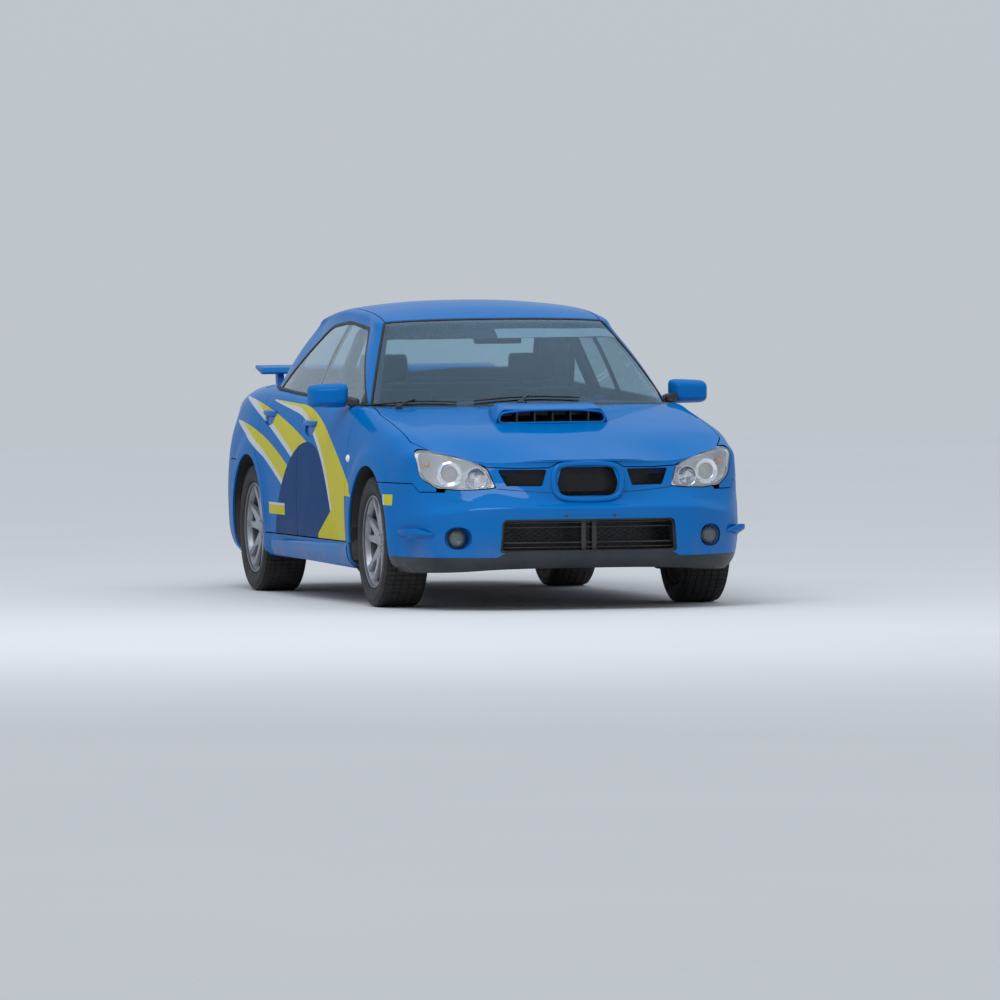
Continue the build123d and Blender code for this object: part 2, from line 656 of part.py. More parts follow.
parts["engine"] = block((-270, 270), (-1880, -1330), (300, 690))
gearbox = block((-150, 150), (-1330, -995), (190, 370))
shaft = rod((0, -1000, 300), (0, 1120, 315), 30)
differential = block((-130, 130), (1110, 1290), (230, 380))
front_shafts = rod((-560, FRONT_AXLE_Y, AXLE_Z), (560, FRONT_AXLE_Y, AXLE_Z), 16)
rear_shafts = rod((-570, REAR_AXLE_Y, AXLE_Z), (570, REAR_AXLE_Y, AXLE_Z), 16)
parts["driveline"] = largest((gearbox + shaft + differential + front_shafts + rear_shafts) - parts["engine"])

pipe_route = [(200, -950, 190), (200, 500, 190), (300, 900, 190), (300, 1500, 230), (460, 1700, 250)]
pipe = rod(pipe_route[0], pipe_route[1], 26)
for a, b in zip(pipe_route[1:], pipe_route[2:]):
    pipe = pipe + rod(a, b, 26) + Pos(*a) * Sphere(27.5)
silencer = block((330, 600), (1660, 1960), (205, 325))
tailpipe = rod((560, 1960, 268), (560, 2222, 262), 45) - rod((560, 2100, 264.8), (560, 2300, 260.2), 40)
parts["exhaust"] = largest(pipe + silencer + tailpipe)
parts["rear_bumper"] = largest(parts["rear_bumper"] - rod((560, 1900, 269), (560, 2400, 258), 60))

subframe = block((-370, 370), (FRONT_AXLE_Y - 60, FRONT_AXLE_Y + 320), (195, 235))
subframe = subframe - block((-250, 250), (FRONT_AXLE_Y + 90, FRONT_AXLE_Y + 400), (150, 250))
arm = rod((350, FRONT_AXLE_Y - 20, 212), (632, FRONT_AXLE_Y, 178), 16)
arm = arm + rod((350, FRONT_AXLE_Y + 260, 212), (632, FRONT_AXLE_Y, 178), 16)
spring = upright_drum(STRUT_X, STRUT_Y, 55, TOWER_FOOT + 15, TOWER_TOP)
front_links = (subframe + arm + mirrored(arm)) - block((-160, 160), (-1340, -900), (180, 400))
parts["front_crossmember"] = largest(front_links - parts["driveline"])
parts["front_springs"] = pair(largest(spring - parts["front_structure"]))

rear_links = (
    block((-330, 330), (REAR_AXLE_Y - 60, REAR_AXLE_Y - 10), (170, 215))
    + block((-330, 330), (REAR_AXLE_Y + 60, REAR_AXLE_Y + 110), (170, 215))
    + block((-40, 40), (REAR_AXLE_Y - 60, REAR_AXLE_Y + 110), (170, 229))
)
rear_side = (
    rod((320, REAR_AXLE_Y - 35, 192), (610, REAR_AXLE_Y - 20, 240), 14)
    + rod((320, REAR_AXLE_Y + 85, 192), (610, REAR_AXLE_Y + 20, 240), 14)
    + block((585, 622), (REAR_AXLE_Y - 55, REAR_AXLE_Y + 55), (222, 440))
    + rod((596, REAR_AXLE_Y, 400), (556, REAR_AXLE_Y + 10, 690), 22)
    + rod((560, REAR_AXLE_Y + 10, 640), (556, REAR_AXLE_Y + 10, 682), 50)
)
rear_room = WHEEL_WELLS + block((-520, 520), (900, 1500), (150, 400))
rear_set = (rear_links + rear_side + mirrored(rear_side)) & rear_room
parts["rear_suspension"] = largest(rear_set - parts["exhaust"] - parts["driveline"] - parts["wheel_liners"])

# Steering knuckles and wheels

KINGPIN_LOW = (690.0, FRONT_AXLE_Y, 190.0)
KINGPIN_HIGH = (STRUT_X, FRONT_AXLE_Y, 800.0)
upright = block((598, 636), (FRONT_AXLE_Y - 50, FRONT_AXLE_Y + 50), (222, 440))
upright = upright + rod((600, FRONT_AXLE_Y, 420), (560, FRONT_AXLE_Y, 640), 22)
caliper = block((610, 652), (FRONT_AXLE_Y + 90, FRONT_AXLE_Y + 150), (AXLE_Z - 60, AXLE_Z + 60))
caliper = caliper + block((600, 632), (FRONT_AXLE_Y + 40, FRONT_AXLE_Y + 120), (AXLE_Z - 40, AXLE_Z + 40))
caliper_outer = block((652, 712), (FRONT_AXLE_Y + 90, FRONT_AXLE_Y + 175), (AXLE_Z - 60, AXLE_Z + 60))
caliper = caliper + (caliper_outer - drum(FRONT_AXLE_Y, AXLE_Z, 156.0))
knuckle = largest(upright + caliper)
parts["front_knuckle_left"] = knuckle
parts["front_knuckle_right"] = mirrored(knuckle)

# Tyre section: radius, distance from the wheel's middle plane
TYRE_SECTION = [(RIM_RADIUS + 2.0, 94.0, 6.0), (264.0, 111.0, 40.0), (TYRE_RADIUS, 96.0, 22.0)]


def wheel(side, track, along):
    """Rim and tyre with the brake disc, their axis across the car; side is +1 on the left."""
    centre_x = side * track / 2
    axis = Axis((centre_x, along, AXLE_Z), (1, 0, 0))

    def ring(rows):
        """Rows of (radius, across from the middle plane outwards, corner radius)."""
        points = [(centre_x + side * b, AXLE_Z + a, r) for a, b, r in rows]
        face = Plane.XZ.offset(-along) * flat(points)
        return revolve(face, axis, 360)

    tyre_rows = TYRE_SECTION + [(a, -b, r) for a, b, r in reversed(TYRE_SECTION)]
    tyre = ring(tyre_rows)
    inner = RIM_RADIUS - 11
    barrel = ring([(RIM_RADIUS, -94, 0), (RIM_RADIUS, 94, 0), (inner, 94, 0), (inner - 3, -94, 0)])
    hub = ring([(0, -96, 0), (28, -96, 0), (28, -30, 0), (75, -30, 0), (75, 55, 0), (50, 68, 0), (0, 68, 0)])
    disc = ring([(60, -62, 0), (147, -62, 0), (147, -40, 0), (60, -40, 0)])
    bell = ring([(60, -62, 0), (74, -62, 0), (74, -25, 0), (60, -25, 0)])
    rim = barrel + hub + disc + bell
    for k in range(5):
        for twist in (-11, 11):
            spoke = block((52, 74), (-13, 13), (55, RIM_RADIUS - 4))
            spoke = Rot(90 + 72 * k + twist, 0, 0) * spoke
            if side < 0:
                spoke = mirror(spoke, about=Plane.YZ)
            rim = rim + Pos(centre_x, along, AXLE_Z) * spoke
    return tyre, largest(rim)


for end, track, along in (("front", TRACK_FRONT, FRONT_AXLE_Y), ("rear", TRACK_REAR, REAR_AXLE_Y)):
    for name, side in (("left", 1), ("right", -1)):
        tyre, rim = wheel(side, track, along)
        parts[f"{end}_tyre_{name}"] = tyre
        parts[f"{end}_rim_{name}"] = rim

# Cabin fittings

DASH = [(-950, 640, 0), (-600, 620, 60), (-560, 760, 50), (-640, 850, 60), (-950, 905, 0)]
dash = side_slab(DASH, -660, 660)
console = block((-95, 95), (-950, 60), (401, 560)) - block((-200, 200), (-500, 200), (500, 700))
WHEEL_CENTRE = (370.0, -420.0, 800.0)
COLUMN_TILT = radians(24)
column_dir = (0.0, cos(COLUMN_TILT), sin(COLUMN_TILT))
column = rod(
    (WHEEL_CENTRE[0], WHEEL_CENTRE[1] - 330 * column_dir[1], WHEEL_CENTRE[2] - 330 * column_dir[2]),
    (WHEEL_CENTRE[0], WHEEL_CENTRE[1] - 40 * column_dir[1], WHEEL_CENTRE[2] - 40 * column_dir[2]),
    34,
)
parts["dashboard"] = largest((dash + console + column) & BODY[PILLAR_IN])

wheel_plane = Plane(origin=WHEEL_CENTRE, z_dir=column_dir, x_dir=(1, 0, 0))
steering = wheel_plane * Torus(178, 15)
boss = extrude(wheel_plane.offset(-35) * Circle(45), amount=45)
for angle in (0, 180, 270):
    spoke = Rot(0, 0, angle) * Pos(105, 0, -8) * Box(140, 28, 10)
    steering = steering + wheel_plane * spoke
parts["steering_wheel"] = largest(steering + boss)


def bucket_seat(x):
    """Cushion, back and headrest of a front seat, as one soft block."""
    cushion = side_slab([(-330, 270, 0), (170, 270, 0), (180, 420, 40), (-330, 470, 40)], x - 232, x + 232)
    back = side_slab([(120, 300, 0), (230, 300, 0), (400, 1030, 50), (290, 1040, 50)], x - 232, x + 232)
    head = side_slab([(310, 1020, 10), (405, 1000, 10), (425, 1190, 40), (340, 1195, 40)], x - 120, x + 120)
    return cushion + back + head


parts["front_seats"] = pair(largest(bucket_seat(WHEEL_CENTRE[0])))
bench = side_slab([(560, 265, 0), (980, 265, 0), (980, 470, 0), (560, 500, 50)], -600, 600)
bench = bench - block((-135, 135), (0, 1100), (200, 402))
bench_back = side_slab([(860, 440, 0), (983, 440, 0), (983, 960, 20), (930, 980, 25)], -600, 600)
bench_room = drum(REAR_AXLE_Y, ARCH_Z, 378.0, 465.0)
bench = bench - bench_room - mirrored(bench_room)
bench_back = bench_back - bench_room - mirrored(bench_room)
parts["rear_seat"] = largest(bench + bench_back)

cowl_region = slab(bonnet_rear, Plane.XY, 700, 1300) & block((-735, 735), (-1200, -760), (800, 1000))
cowl = (lower_body(0.0) - lower_body(SKIN)) & cowl_region
parts["cowl"] = largest(without(cowl - cabin(0.0), (*SIDES, "windscreen")))
deck = SKIN_SHELL & block((-640, 640), (1230, 1386), (1000, 1200))
parts["rear_deck"] = largest(without(deck - cabin(0.0), (*SIDES, "rear_quarters")))

os.makedirs("parts", exist_ok=True)
for node, shape in parts.items():
    export_step(Compound(children=solids_of(shape)), f"parts/{node}.step")
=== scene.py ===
"""Looks of a full-size four-door rally saloon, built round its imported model.

Tables are in millimetres, in the car's own frame: the nose points to -Y, the car's left side is +X, +Z is up,
and the origin is on the ground under the middle of the length. Every finished mesh is in metres.
"""
import math

import bmesh
import bpy
import numpy as np
from mathutils import Matrix, Vector


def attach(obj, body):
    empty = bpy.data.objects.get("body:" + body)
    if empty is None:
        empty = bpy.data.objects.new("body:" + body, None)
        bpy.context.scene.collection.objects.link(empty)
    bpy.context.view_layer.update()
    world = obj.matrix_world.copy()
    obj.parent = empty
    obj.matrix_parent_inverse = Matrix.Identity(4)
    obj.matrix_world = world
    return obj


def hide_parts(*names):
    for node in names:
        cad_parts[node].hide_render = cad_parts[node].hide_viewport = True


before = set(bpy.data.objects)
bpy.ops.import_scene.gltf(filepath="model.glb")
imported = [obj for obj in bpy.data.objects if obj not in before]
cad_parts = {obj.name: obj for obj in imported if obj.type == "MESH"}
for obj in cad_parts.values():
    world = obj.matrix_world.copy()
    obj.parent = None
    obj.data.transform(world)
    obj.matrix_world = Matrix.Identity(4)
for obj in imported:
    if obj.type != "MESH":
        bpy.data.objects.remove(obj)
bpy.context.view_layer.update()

bl_info = {
    "name": "Rally saloon",
    "version": (1, 0, 0),
    "blender": (4, 5, 0),
    "location": "3D View > Sidebar > Saloon",
    "description": "Models and finishes a four-door rally saloon round its packed frame",
    "category": "Object",
}

MM = 0.001
FRONT_AXLE_Y = -1327.5
REAR_AXLE_Y = 1197.5
AXLE_Z = 312.5
ARCH_Z = 322.0
ARCH_RADIUS = 354.0
TRACKS = {"front": 742.5, "rear": 740.0}
SIDES = {"left": 1, "right": -1}
SHARP_EDGE = math.radians(50)
CENTRE = (0, 0, 0)
OUTWARD = (1, 0, 0)


# Selecting, naming and applying


def deselect():
    if bpy.context.mode != "OBJECT":
        bpy.ops.object.mode_set(mode="OBJECT")
    bpy.ops.object.select_all(action="DESELECT")


def pick(piece):
    deselect()
    piece.select_set(True)
    bpy.context.view_layer.objects.active = piece
    return piece


def named(name):
    """The new primitive, under its own name."""
    piece = bpy.context.active_object
    piece.name = name
    piece.data.name = name
    return piece


def settle(piece):
    """Moves the piece's place, turn and size into its mesh."""
    pick(piece)
    bpy.ops.object.transform_apply(location=True, rotation=True, scale=True)
    return piece


def modify(piece, kind, **settings):
    """Adds one modifier and applies it."""
    pick(piece)
    modifier = piece.modifiers.new(kind.title(), kind)
    for key, value in settings.items():
        setattr(modifier, key, value)
    bpy.ops.object.modifier_apply(modifier=modifier.name)
    return piece


def edit(piece, select="SELECT"):
    """Into edit mode with everything selected or nothing."""
    pick(piece)
    bpy.ops.object.mode_set(mode="EDIT")
    bpy.ops.mesh.select_all(action=select)


def done():
    bpy.ops.object.mode_set(mode="OBJECT")


def outward(piece, weld=0.00002):
    """Merges doubles and turns all faces outwards."""
    edit(piece)
    bpy.ops.mesh.remove_doubles(threshold=weld)
    bpy.ops.mesh.normals_make_consistent(inside=False)
    done()
    return piece


def smooth(piece, angle=32.0):
    pick(piece)
    bpy.ops.object.shade_smooth_by_angle(angle=math.radians(angle))
    return piece


def soften(piece, width):
    """Rounds the sharp edges of a piece, by a width in millimetres."""
    return modify(piece, "BEVEL", width=width * MM, segments=3, limit_method="ANGLE", angle_limit=SHARP_EDGE)


def displace(piece, distance):
    """Moves a surface along its normals, by a distance in millimetres."""
    return modify(piece, "DISPLACE", strength=distance * MM, mid_level=0.0)


def share_of(value, low, high):
    """How far a value has come from low to high, between 0 and 1."""
    return min(max((value - low) / (high - low), 0), 1)


def copy_of(piece, name):
    twin = piece.copy()
    twin.data = piece.data.copy()
    twin.name = name
    twin.data.name = name
    bpy.context.collection.objects.link(twin)
    return twin


def mirrored(piece, name):
    """The right-hand twin of a left-hand piece, with its own mesh."""
    twin = copy_of(piece, name)
    twin.data.transform(Matrix.Scale(-1, 4, (1, 0, 0)))
    edit(twin)
    bpy.ops.mesh.flip_normals()
    done()
    return twin


def join(pieces, name):
    """Joins pieces into the first one."""
    deselect()
    for piece in pieces:
        piece.select_set(True)
    bpy.context.view_layer.objects.active = pieces[0]
    bpy.ops.object.join()
    return named(name)


def discard(*pieces):
    for piece in pieces:
        bpy.data.objects.remove(piece)


# Finishes by name, filled by the first operator
FINISHES = {}


def fit(piece, body, slot, finish, *nodes):
    """Gives a finished piece its finish and the body that carries it; its slot is not used. Fog glass lets
    light in.
    """
    piece.data.materials.clear()
    piece.data.materials.append(FINISHES[finish])
    piece.visible_shadow = finish != "fog_glass"
    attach(piece, body)
    if nodes:
        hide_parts(*nodes)
    return piece


def on_right(name):
    return name.replace("_left", "_right")


def fit_pair(left, body, slot, finish, *nodes):
    """Fits a left-hand piece, and its twin on the right."""
    fit(left, body, slot, finish, *nodes)
    twin = mirrored(left, on_right(left.name))
    twin.parent = None
    fit(twin, on_right(body), slot, finish, *(on_right(node) for node in nodes if node.endswith("_left")))


# Primitives shaped at their size and place


def rounded(outline, steps=5):
    """Points of an outline whose rows are (u, v) or (u, v, corner radius), with each corner as an arc."""
    rows = [tuple(row) + (0.0,) * (3 - len(row)) for row in outline]
    points = []
    for index, (u, v, radius) in enumerate(rows):
        here = Vector((u, v))
        if radius <= 0:
            points.append(here)
            continue
        before = (Vector(rows[index - 1][:2]) - here).normalized()
        after = (Vector(rows[(index + 1) % len(rows)][:2]) - here).normalized()
        half = before.angle(after) / 2
        centre = here + (before + after).normalized() * (radius / math.sin(half))
        start = here + before * (radius / math.tan(half)) - centre
        end = here + after * (radius / math.tan(half)) - centre
        sweep = start.angle_signed(end)
        for step in range(steps + 1):
            turn = -sweep * step / steps
            cosine, sine = math.cos(turn), math.sin(turn)
            u, v = start.x * cosine - start.y * sine, start.x * sine + start.y * cosine
            points.append(centre + Vector((u, v)))
    return points


SEEN = {"side": (1, 2, 0), "plan": (0, 1, 2), "front": (0, 2, 1)}


def prism(name, seen, outline, low, high, steps=5):
    """A closed slab: an outline seen from the side, above or the front, pulled from low to high."""
    first, second, third = SEEN[seen]
    points = rounded(outline, steps)
    deselect()
    bpy.ops.mesh.primitive_circle_add(vertices=len(points), radius=1.0, fill_type="NGON")
    slab = named(name)
    for vertex, (u, v) in zip(slab.data.vertices, points):
        place = Vector()
        place[first], place[second], place[third] = u * MM, v * MM, low * MM
        vertex.co = place
    pull = Vector()
    pull[third] = (high - low) * MM
    edit(slab)
    bpy.ops.mesh.extrude_region_move(TRANSFORM_OT_translate={"value": pull})
    bpy.ops.mesh.select_all(action="SELECT")
    bpy.ops.mesh.normals_make_consistent(inside=False)
    done()
    return slab


def block(name, x, y, z, bevel=0.0, segments=2):
    """A box between two values on each axis, in millimetres, with rounded edges."""
    deselect()
    bpy.ops.mesh.primitive_cube_add(size=1.0)
    box = named(name)
    box.location = Vector(((x[0] + x[1]) / 2, (y[0] + y[1]) / 2, (z[0] + z[1]) / 2)) * MM
    box.scale = Vector((x[1] - x[0], y[1] - y[0], z[1] - z[0])) * MM
    settle(box)
    if bevel:
        edit(box)
        bpy.ops.mesh.bevel(offset=bevel * MM, segments=segments, affect="EDGES")
        done()
    return box


def lathe(name, profile, centre, axis, steps=48, closed=True):
    """Spins rows of (radius, height along the axis) round an axis through a centre, all in millimetres."""
    deselect()
    bpy.ops.mesh.primitive_circle_add(vertices=len(profile), radius=1.0, fill_type="NOTHING")
    body = named(name)
    for vertex, (radius, height) in zip(body.data.vertices, profile):
        vertex.co = Vector((radius, 0, height)) * MM
    if not closed:
        edit(body, "DESELECT")
        mesh = bmesh.from_edit_mesh(body.data)
        mesh.edges.ensure_lookup_table()
        ends = {0, len(profile) - 1}
        for edge in list(mesh.edges):
            if {v.index for v in edge.verts} == ends:
                mesh.edges.remove(edge)
        bmesh.update_edit_mesh(body.data)
        done()
    edit(body)
    bpy.ops.mesh.spin(steps=steps, angle=2 * math.pi, center=(0, 0, 0), axis=(0, 0, 1))
    done()
    turn = Vector(axis).to_track_quat("Z", "Y").to_matrix().to_4x4()
    body.data.transform(Matrix.Translation(Vector(centre) * MM) @ turn)
    return outward(body)


def tube(name, points, radius, sides=10, closed=False, smoothed=True):
    """A round bar in millimetres along a path."""
    deselect()
    curve = bpy.data.curves.new(name, "CURVE")
    curve.dimensions = "3D"
    spline = curve.splines.new("NURBS" if smoothed else "POLY")
    spline.points.add(len(points) - 1)
    for point, place in zip(spline.points, points):
        point.co = (*(Vector(place) * MM), 1.0)
    spline.use_endpoint_u = not closed
    spline.use_cyclic_u = closed
    if smoothed:
        spline.order_u = 3
    curve.bevel_depth = radius * MM
    curve.bevel_resolution = max(1, sides // 4)
    curve.resolution_u = 8
    curve.use_fill_caps = not closed
    drawn = bpy.data.objects.new(name, curve)
    bpy.context.collection.objects.link(drawn)
    pick(drawn)
    bpy.ops.object.convert(target="MESH")
    return outward(named(name))


def carve(piece, cutter, operation="DIFFERENCE", solver="MANIFOLD"):
    """Cuts one closed piece by another, which stays for the next cut."""
    modify(piece, "BOOLEAN", operation=operation, solver=solver, object=cutter)
    return piece


# The body's drawn surface


NOSE_ROWS = (
    (50, 200), (8, 235), (2, 284), (0, 350), (0, 450), (4, 490),
    (35, 520), (46, 590), (54, 650), (64, 700), (92, 716),
)
SILL_ROWS = ((80, 150), (24, 200), (8, 262), (4, 330), (0, 450))
TAIL_LOW = ((60, 240), (20, 270), (2, 340), (0, 440))
QUARTER_LOW = ((70, 170), (26, 220), (8, 290), (3, 370), (0, 470))
# Each station: across, along, facing angle from the nose, then rows of (inset, height) from the bottom up
STATIONS = (
    (0, -2232, 0, NOSE_ROWS),
    (180, -2230, 2, NOSE_ROWS),
    (430, -2203, 12, (
        (55, 195), (12, 232), (4, 284), (0, 350), (0, 448), (4, 490),
        (44, 526), (92, 588), (112, 650), (126, 695), (160, 712),
    )),
    (600, -2135, 27, (
        (60, 185), (14, 230), (6, 290), (0, 350), (0, 440), (4, 478),
        (38, 518), (66, 574), (95, 640), (118, 706), (150, 724),
    )),
    (725, -2030, 45, (
        (60, 180), (16, 228), (6, 295), (0, 355), (0, 425), (5, 466),
        (26, 508), (44, 580), (60, 650), (69, 728), (110, 748),
    )),
    (800, -1900, 65, (
        (60, 178), (18, 228), (6, 300), (0, 360), (0, 430), (8, 500),
        (10, 560), (12, 620), (14, 680), (26, 742), (95, 775),
    )),
    (838, -1760, 80, (
        (60, 178), (20, 228), (6, 300), (0, 360), (0, 430), (0, 520),
        (1, 570), (3, 620), (10, 690), (40, 770), (110, 812),
    )),
    (856, -1600, 87, (
        (60, 178), (20, 240), (4, 310), (0, 380), (0, 460), (0, 540),
        (1, 600), (5, 660), (16, 740), (50, 815), (122, 845),
    )),
    (866, -1327, 90, (
        (80, 150), (30, 200), (6, 300), (2, 380), (0, 460), (0, 560),
        (2, 640), (8, 710), (24, 790), (62, 862), (131, 893),
    )),
    (868, -1050, 90, SILL_ROWS + ((1, 570), (5, 660), (13, 740), (30, 820), (68, 905), (130, 933))),
    (869, -850, 90, SILL_ROWS + ((1, 580), (6, 680), (15, 765), (32, 845), (62, 922), (98, 948))),
    (870, -400, 90, SILL_ROWS + ((1, 585), (6, 690), (15, 775), (34, 860), (62, 935), (98, 960))),
    (870, 150, 90, SILL_ROWS + ((1, 585), (6, 690), (15, 775), (34, 868), (62, 946), (98, 976))),
    (870, 600, 90, SILL_ROWS + ((1, 585), (6, 690), (15, 780), (34, 875), (62, 955), (100, 988))),
    (869, 850, 90, SILL_ROWS + ((1, 590), (6, 695), (15, 785), (36, 880), (66, 964), (108, 997))),
    (868, 1197, 90, (
        (80, 150), (30, 200), (6, 300), (2, 380), (0, 460), (1, 590),
        (5, 690), (14, 780), (38, 882), (82, 966), (150, 1012),
    )),
    (860, 1500, 93, QUARTER_LOW + ((3, 600), (8, 690), (20, 780), (46, 878), (86, 960), (172, 1006))),
    (838, 1750, 98, QUARTER_LOW + ((4, 620), (10, 700), (26, 780), (54, 868), (92, 946), (172, 994))),
    (790, 1960, 112, (
        (50, 240), (14, 280), (2, 350), (0, 430), (0, 520), (8, 620),
        (24, 700), (40, 780), (58, 856), (84, 930), (156, 982),
    )),
    (700, 2100, 135, TAIL_LOW + (
        (0, 530), (10, 630), (30, 690), (50, 780), (60, 856), (78, 936), (128, 984),
    )),
    (560, 2180, 156, TAIL_LOW + (
        (0, 525), (6, 615), (30, 675), (54, 760), (66, 846), (84, 940), (118, 990),
    )),
    (400, 2215, 170, TAIL_LOW + (
        (0, 520), (4, 600), (30, 660), (58, 740), (72, 838), (90, 945), (120, 995),
    )),
    (180, 2230, 177, TAIL_LOW + (
        (0, 520), (4, 600), (30, 660), (58, 740), (72, 838), (92, 948), (123, 998),
    )),
    (0, 2232, 180, TAIL_LOW + (
        (0, 520), (4, 600), (30, 660), (58, 740), (72, 838), (92, 948), (123, 998),
    )),
)
# Middle line of the bonnet and of the boot deck: along, height, one row for each station beside them
BONNET_MIDDLE = ((-1880, 786), (-1620, 852), (-1330, 905), (-1070, 948), (-850, 966))
BOOT_MIDDLE = ((1800, 1026), (1500, 1038), (1197, 1044))
TOP_SHARES = (0.88, 0.7, 0.5, 0.25)
CAGE_ROUNDS = 14
FLARE_OUT = 12.0
FLARE_END = 480.0
FLARE_WIDTH = 90.0

# Glasshouse stations: base (across, along, height), then top edge (across, along, height)
CABIN_STATIONS = (
    ((0, -1062, 940), (0, -355, 1357)),
    ((235, -1048, 940), (185, -354, 1356)),
    ((460, -1005, 940), (370, -350, 1352)),
    ((700, -905, 940), (545, -335, 1344)),
    ((750, -640, 952), (548, -180, 1372)),
    ((760, -330, 962), (549, 0, 1388)),
    ((760, 0, 972), (550, 180, 1396)),
    ((760, 330, 982), (550, 380, 1395)),
    ((758, 640, 991), (546, 590, 1380)),
    ((742, 930, 1003), (543, 745, 1362)),
    ((650, 1270, 1022), (538, 830, 1344)),
    ((430, 1335, 1036), (365, 826, 1376)),
    ((220, 1350, 1041), (185, 823, 1389)),
    ((0, 1354, 1042), (0, 822, 1393)),
)
CABIN_LEVELS = (-0.12, 0.25, 0.6, 0.88, 1.0)
CABIN_BULGE = (0, 14, 16, 10, 0)
# Middle line of the roof: along, height, one row for each side station
ROOF_MIDDLE = ((-180, 1399), (0, 1424), (180, 1437), (380, 1438), (590, 1425), (730, 1406))


def station_points(station):
    """A station's points in space, from the bottom edge up."""
    across, along, angle, rows = station
    facing = Vector((math.sin(math.radians(angle)), -math.cos(math.radians(angle)), 0))
    return [Vector((across, along, 0)) - facing * inset + Vector((0, 0, height)) for inset, height in rows]


def cabin_points(index):
    """A glasshouse station's points, bulged outwards between its base and the roof's edge."""
    base, top = (Vector(point) for point in CABIN_STATIONS[index])
    rise = top - base
    before = Vector(CABIN_STATIONS[max(index - 1, 0)][0])
    after = Vector(CABIN_STATIONS[min(index + 1, len(CABIN_STATIONS) - 1)][0])
    facing = (after - before).cross(rise).normalized()
    return [base + rise * level + facing * push for level, push in zip(CABIN_LEVELS, CABIN_BULGE)]


def ring_of(columns):
    """The left half's columns followed by their mirror images, without doubling the middle ones."""
    right = [[Vector((-p.x, p.y, p.z)) for p in column] for column in columns[-2:0:-1]]
    return list(columns) + right


def crown_row(edge, shares, middle):
    """Inner points of a top at one side row, by shares of half width, on a crown up to the middle line."""
    along, height = middle
    return [
        Vector((
            edge.x * share,
            edge.y + (along - edge.y) * (1 - share ** 2),
            edge.z + (height - edge.z) * (1 - abs(share) ** 2.4),
        ))
        for share in shares
    ]


def drawn_surface(name, columns, tops, levels):
    """A smooth surface through given points: a ring of columns, and tops that close part of its upper edge.

    columns are the left half's, from the nose to the tail. Each top is (near, sides, shares, middles, far):
    the left half's columns across its near end from the side to the middle, those down its side, the shares
    of half width of its inner points, their middle line, and the columns across its far end, or none where
    it stays open.
    """
    ring = ring_of(columns)
    count = len(ring)
    height = len(ring[0])
    points = [point for column in ring for point in column]
    faces = []
    for column in range(count):
        ahead = (column + 1) % count
        for row in range(height - 1):
            corner, other = column * height + row, ahead * height + row
            faces.append((corner, other, other + 1, corner + 1))

    def rim(column):
        return (column % count) * height + height - 1

    def across(half):
        return [rim(column) for column in half] + [rim(-column) for column in reversed(half[:-1])]

    for near, sides, shares, middles, far in tops:
        signed = list(shares) + [0.0] + [-share for share in reversed(shares)]
        grid = [across(near)]
        for column, middle in zip(sides, middles):
            start = len(points)
            points.extend(crown_row(columns[column][-1], signed, middle))
            grid.append([rim(column)] + list(range(start, len(points))) + [rim(-column)])
        if far:
            grid.append(across(far))
        for first, second in zip(grid, grid[1:]):
            for place in range(len(first) - 1):
                faces.append((first[place], first[place + 1], second[place + 1], second[place]))
    mesh = bpy.data.meshes.new(name)
    mesh.from_pydata([point * MM for point in points], [], faces)
    mesh.update()
    skin = bpy.data.objects.new(name, mesh)
    bpy.context.collection.objects.link(skin)
    edit(skin)
    bpy.ops.mesh.normals_make_consistent(inside=False)
    done()
    if skin.data.polygons[0].normal.y > 0:
        edit(skin)
        bpy.ops.mesh.flip_normals()
        done()
    wanted = np.array([point * MM for point in points])
    cage = wanted.copy()
    subdivide = skin.modifiers.new("Subdivide", "SUBSURF")
    subdivide.levels = subdivide.render_levels = 1
    for _ in range(CAGE_ROUNDS):
        drawn = skin.evaluated_get(bpy.context.evaluated_depsgraph_get()).data
        reached = np.empty(len(drawn.vertices) * 3)
        drawn.vertices.foreach_get("co", reached)
        cage += wanted - reached.reshape(-1, 3)[:len(wanted)]
        skin.data.vertices.foreach_set("co", cage.ravel())
        skin.data.update()
    subdivide.levels = subdivide.render_levels = levels
    pick(skin)
    bpy.ops.object.modifier_apply(modifier=subdivide.name)
    return skin


def draw_lower_body(levels=3):
    """The painted body up to the waist, with the bonnet's and the boot's tops, open under the glasshouse."""
    tops = (
        ((5, 4, 3, 2, 1, 0), (6, 7, 8, 9, 10), TOP_SHARES, BONNET_MIDDLE, ()),
        ((18, 19, 20, 21, 22, 23), (17, 16, 15), TOP_SHARES, BOOT_MIDDLE, ()),
    )
    skin = drawn_surface("lower_body", [station_points(station) for station in STATIONS], tops, levels)
    flare(skin)
    return skin


def flare(skin):
    """Pushes the fenders out round the wheel arches."""
    for vertex in skin.data.vertices:
        place = vertex.co / MM
        if abs(place.x) < 700 or place.z < 200:
            continue
        near = min(math.hypot(place.y - axle, place.z - ARCH_Z) for axle in (FRONT_AXLE_Y, REAR_AXLE_Y))
        share = min(max((FLARE_END - near) / FLARE_WIDTH, 0.0), 1.0)
        push = FLARE_OUT * share * share * (3 - 2 * share)
        vertex.co.x += math.copysign(push * MM, place.x)


def draw_cabin(levels=3):
    """The glasshouse with its roof."""
    tops = (((3, 2, 1, 0), (4, 5, 6, 7, 8, 9), (0.68, 0.34), ROOF_MIDDLE, (10, 11, 12, 13)),)
    columns = [cabin_points(index) for index in range(len(CABIN_STATIONS))]
    return drawn_surface("cabin", columns, tops, levels)


# Cutting the panels

WIDE = 1100.0
SHELL_WALL = 9.0


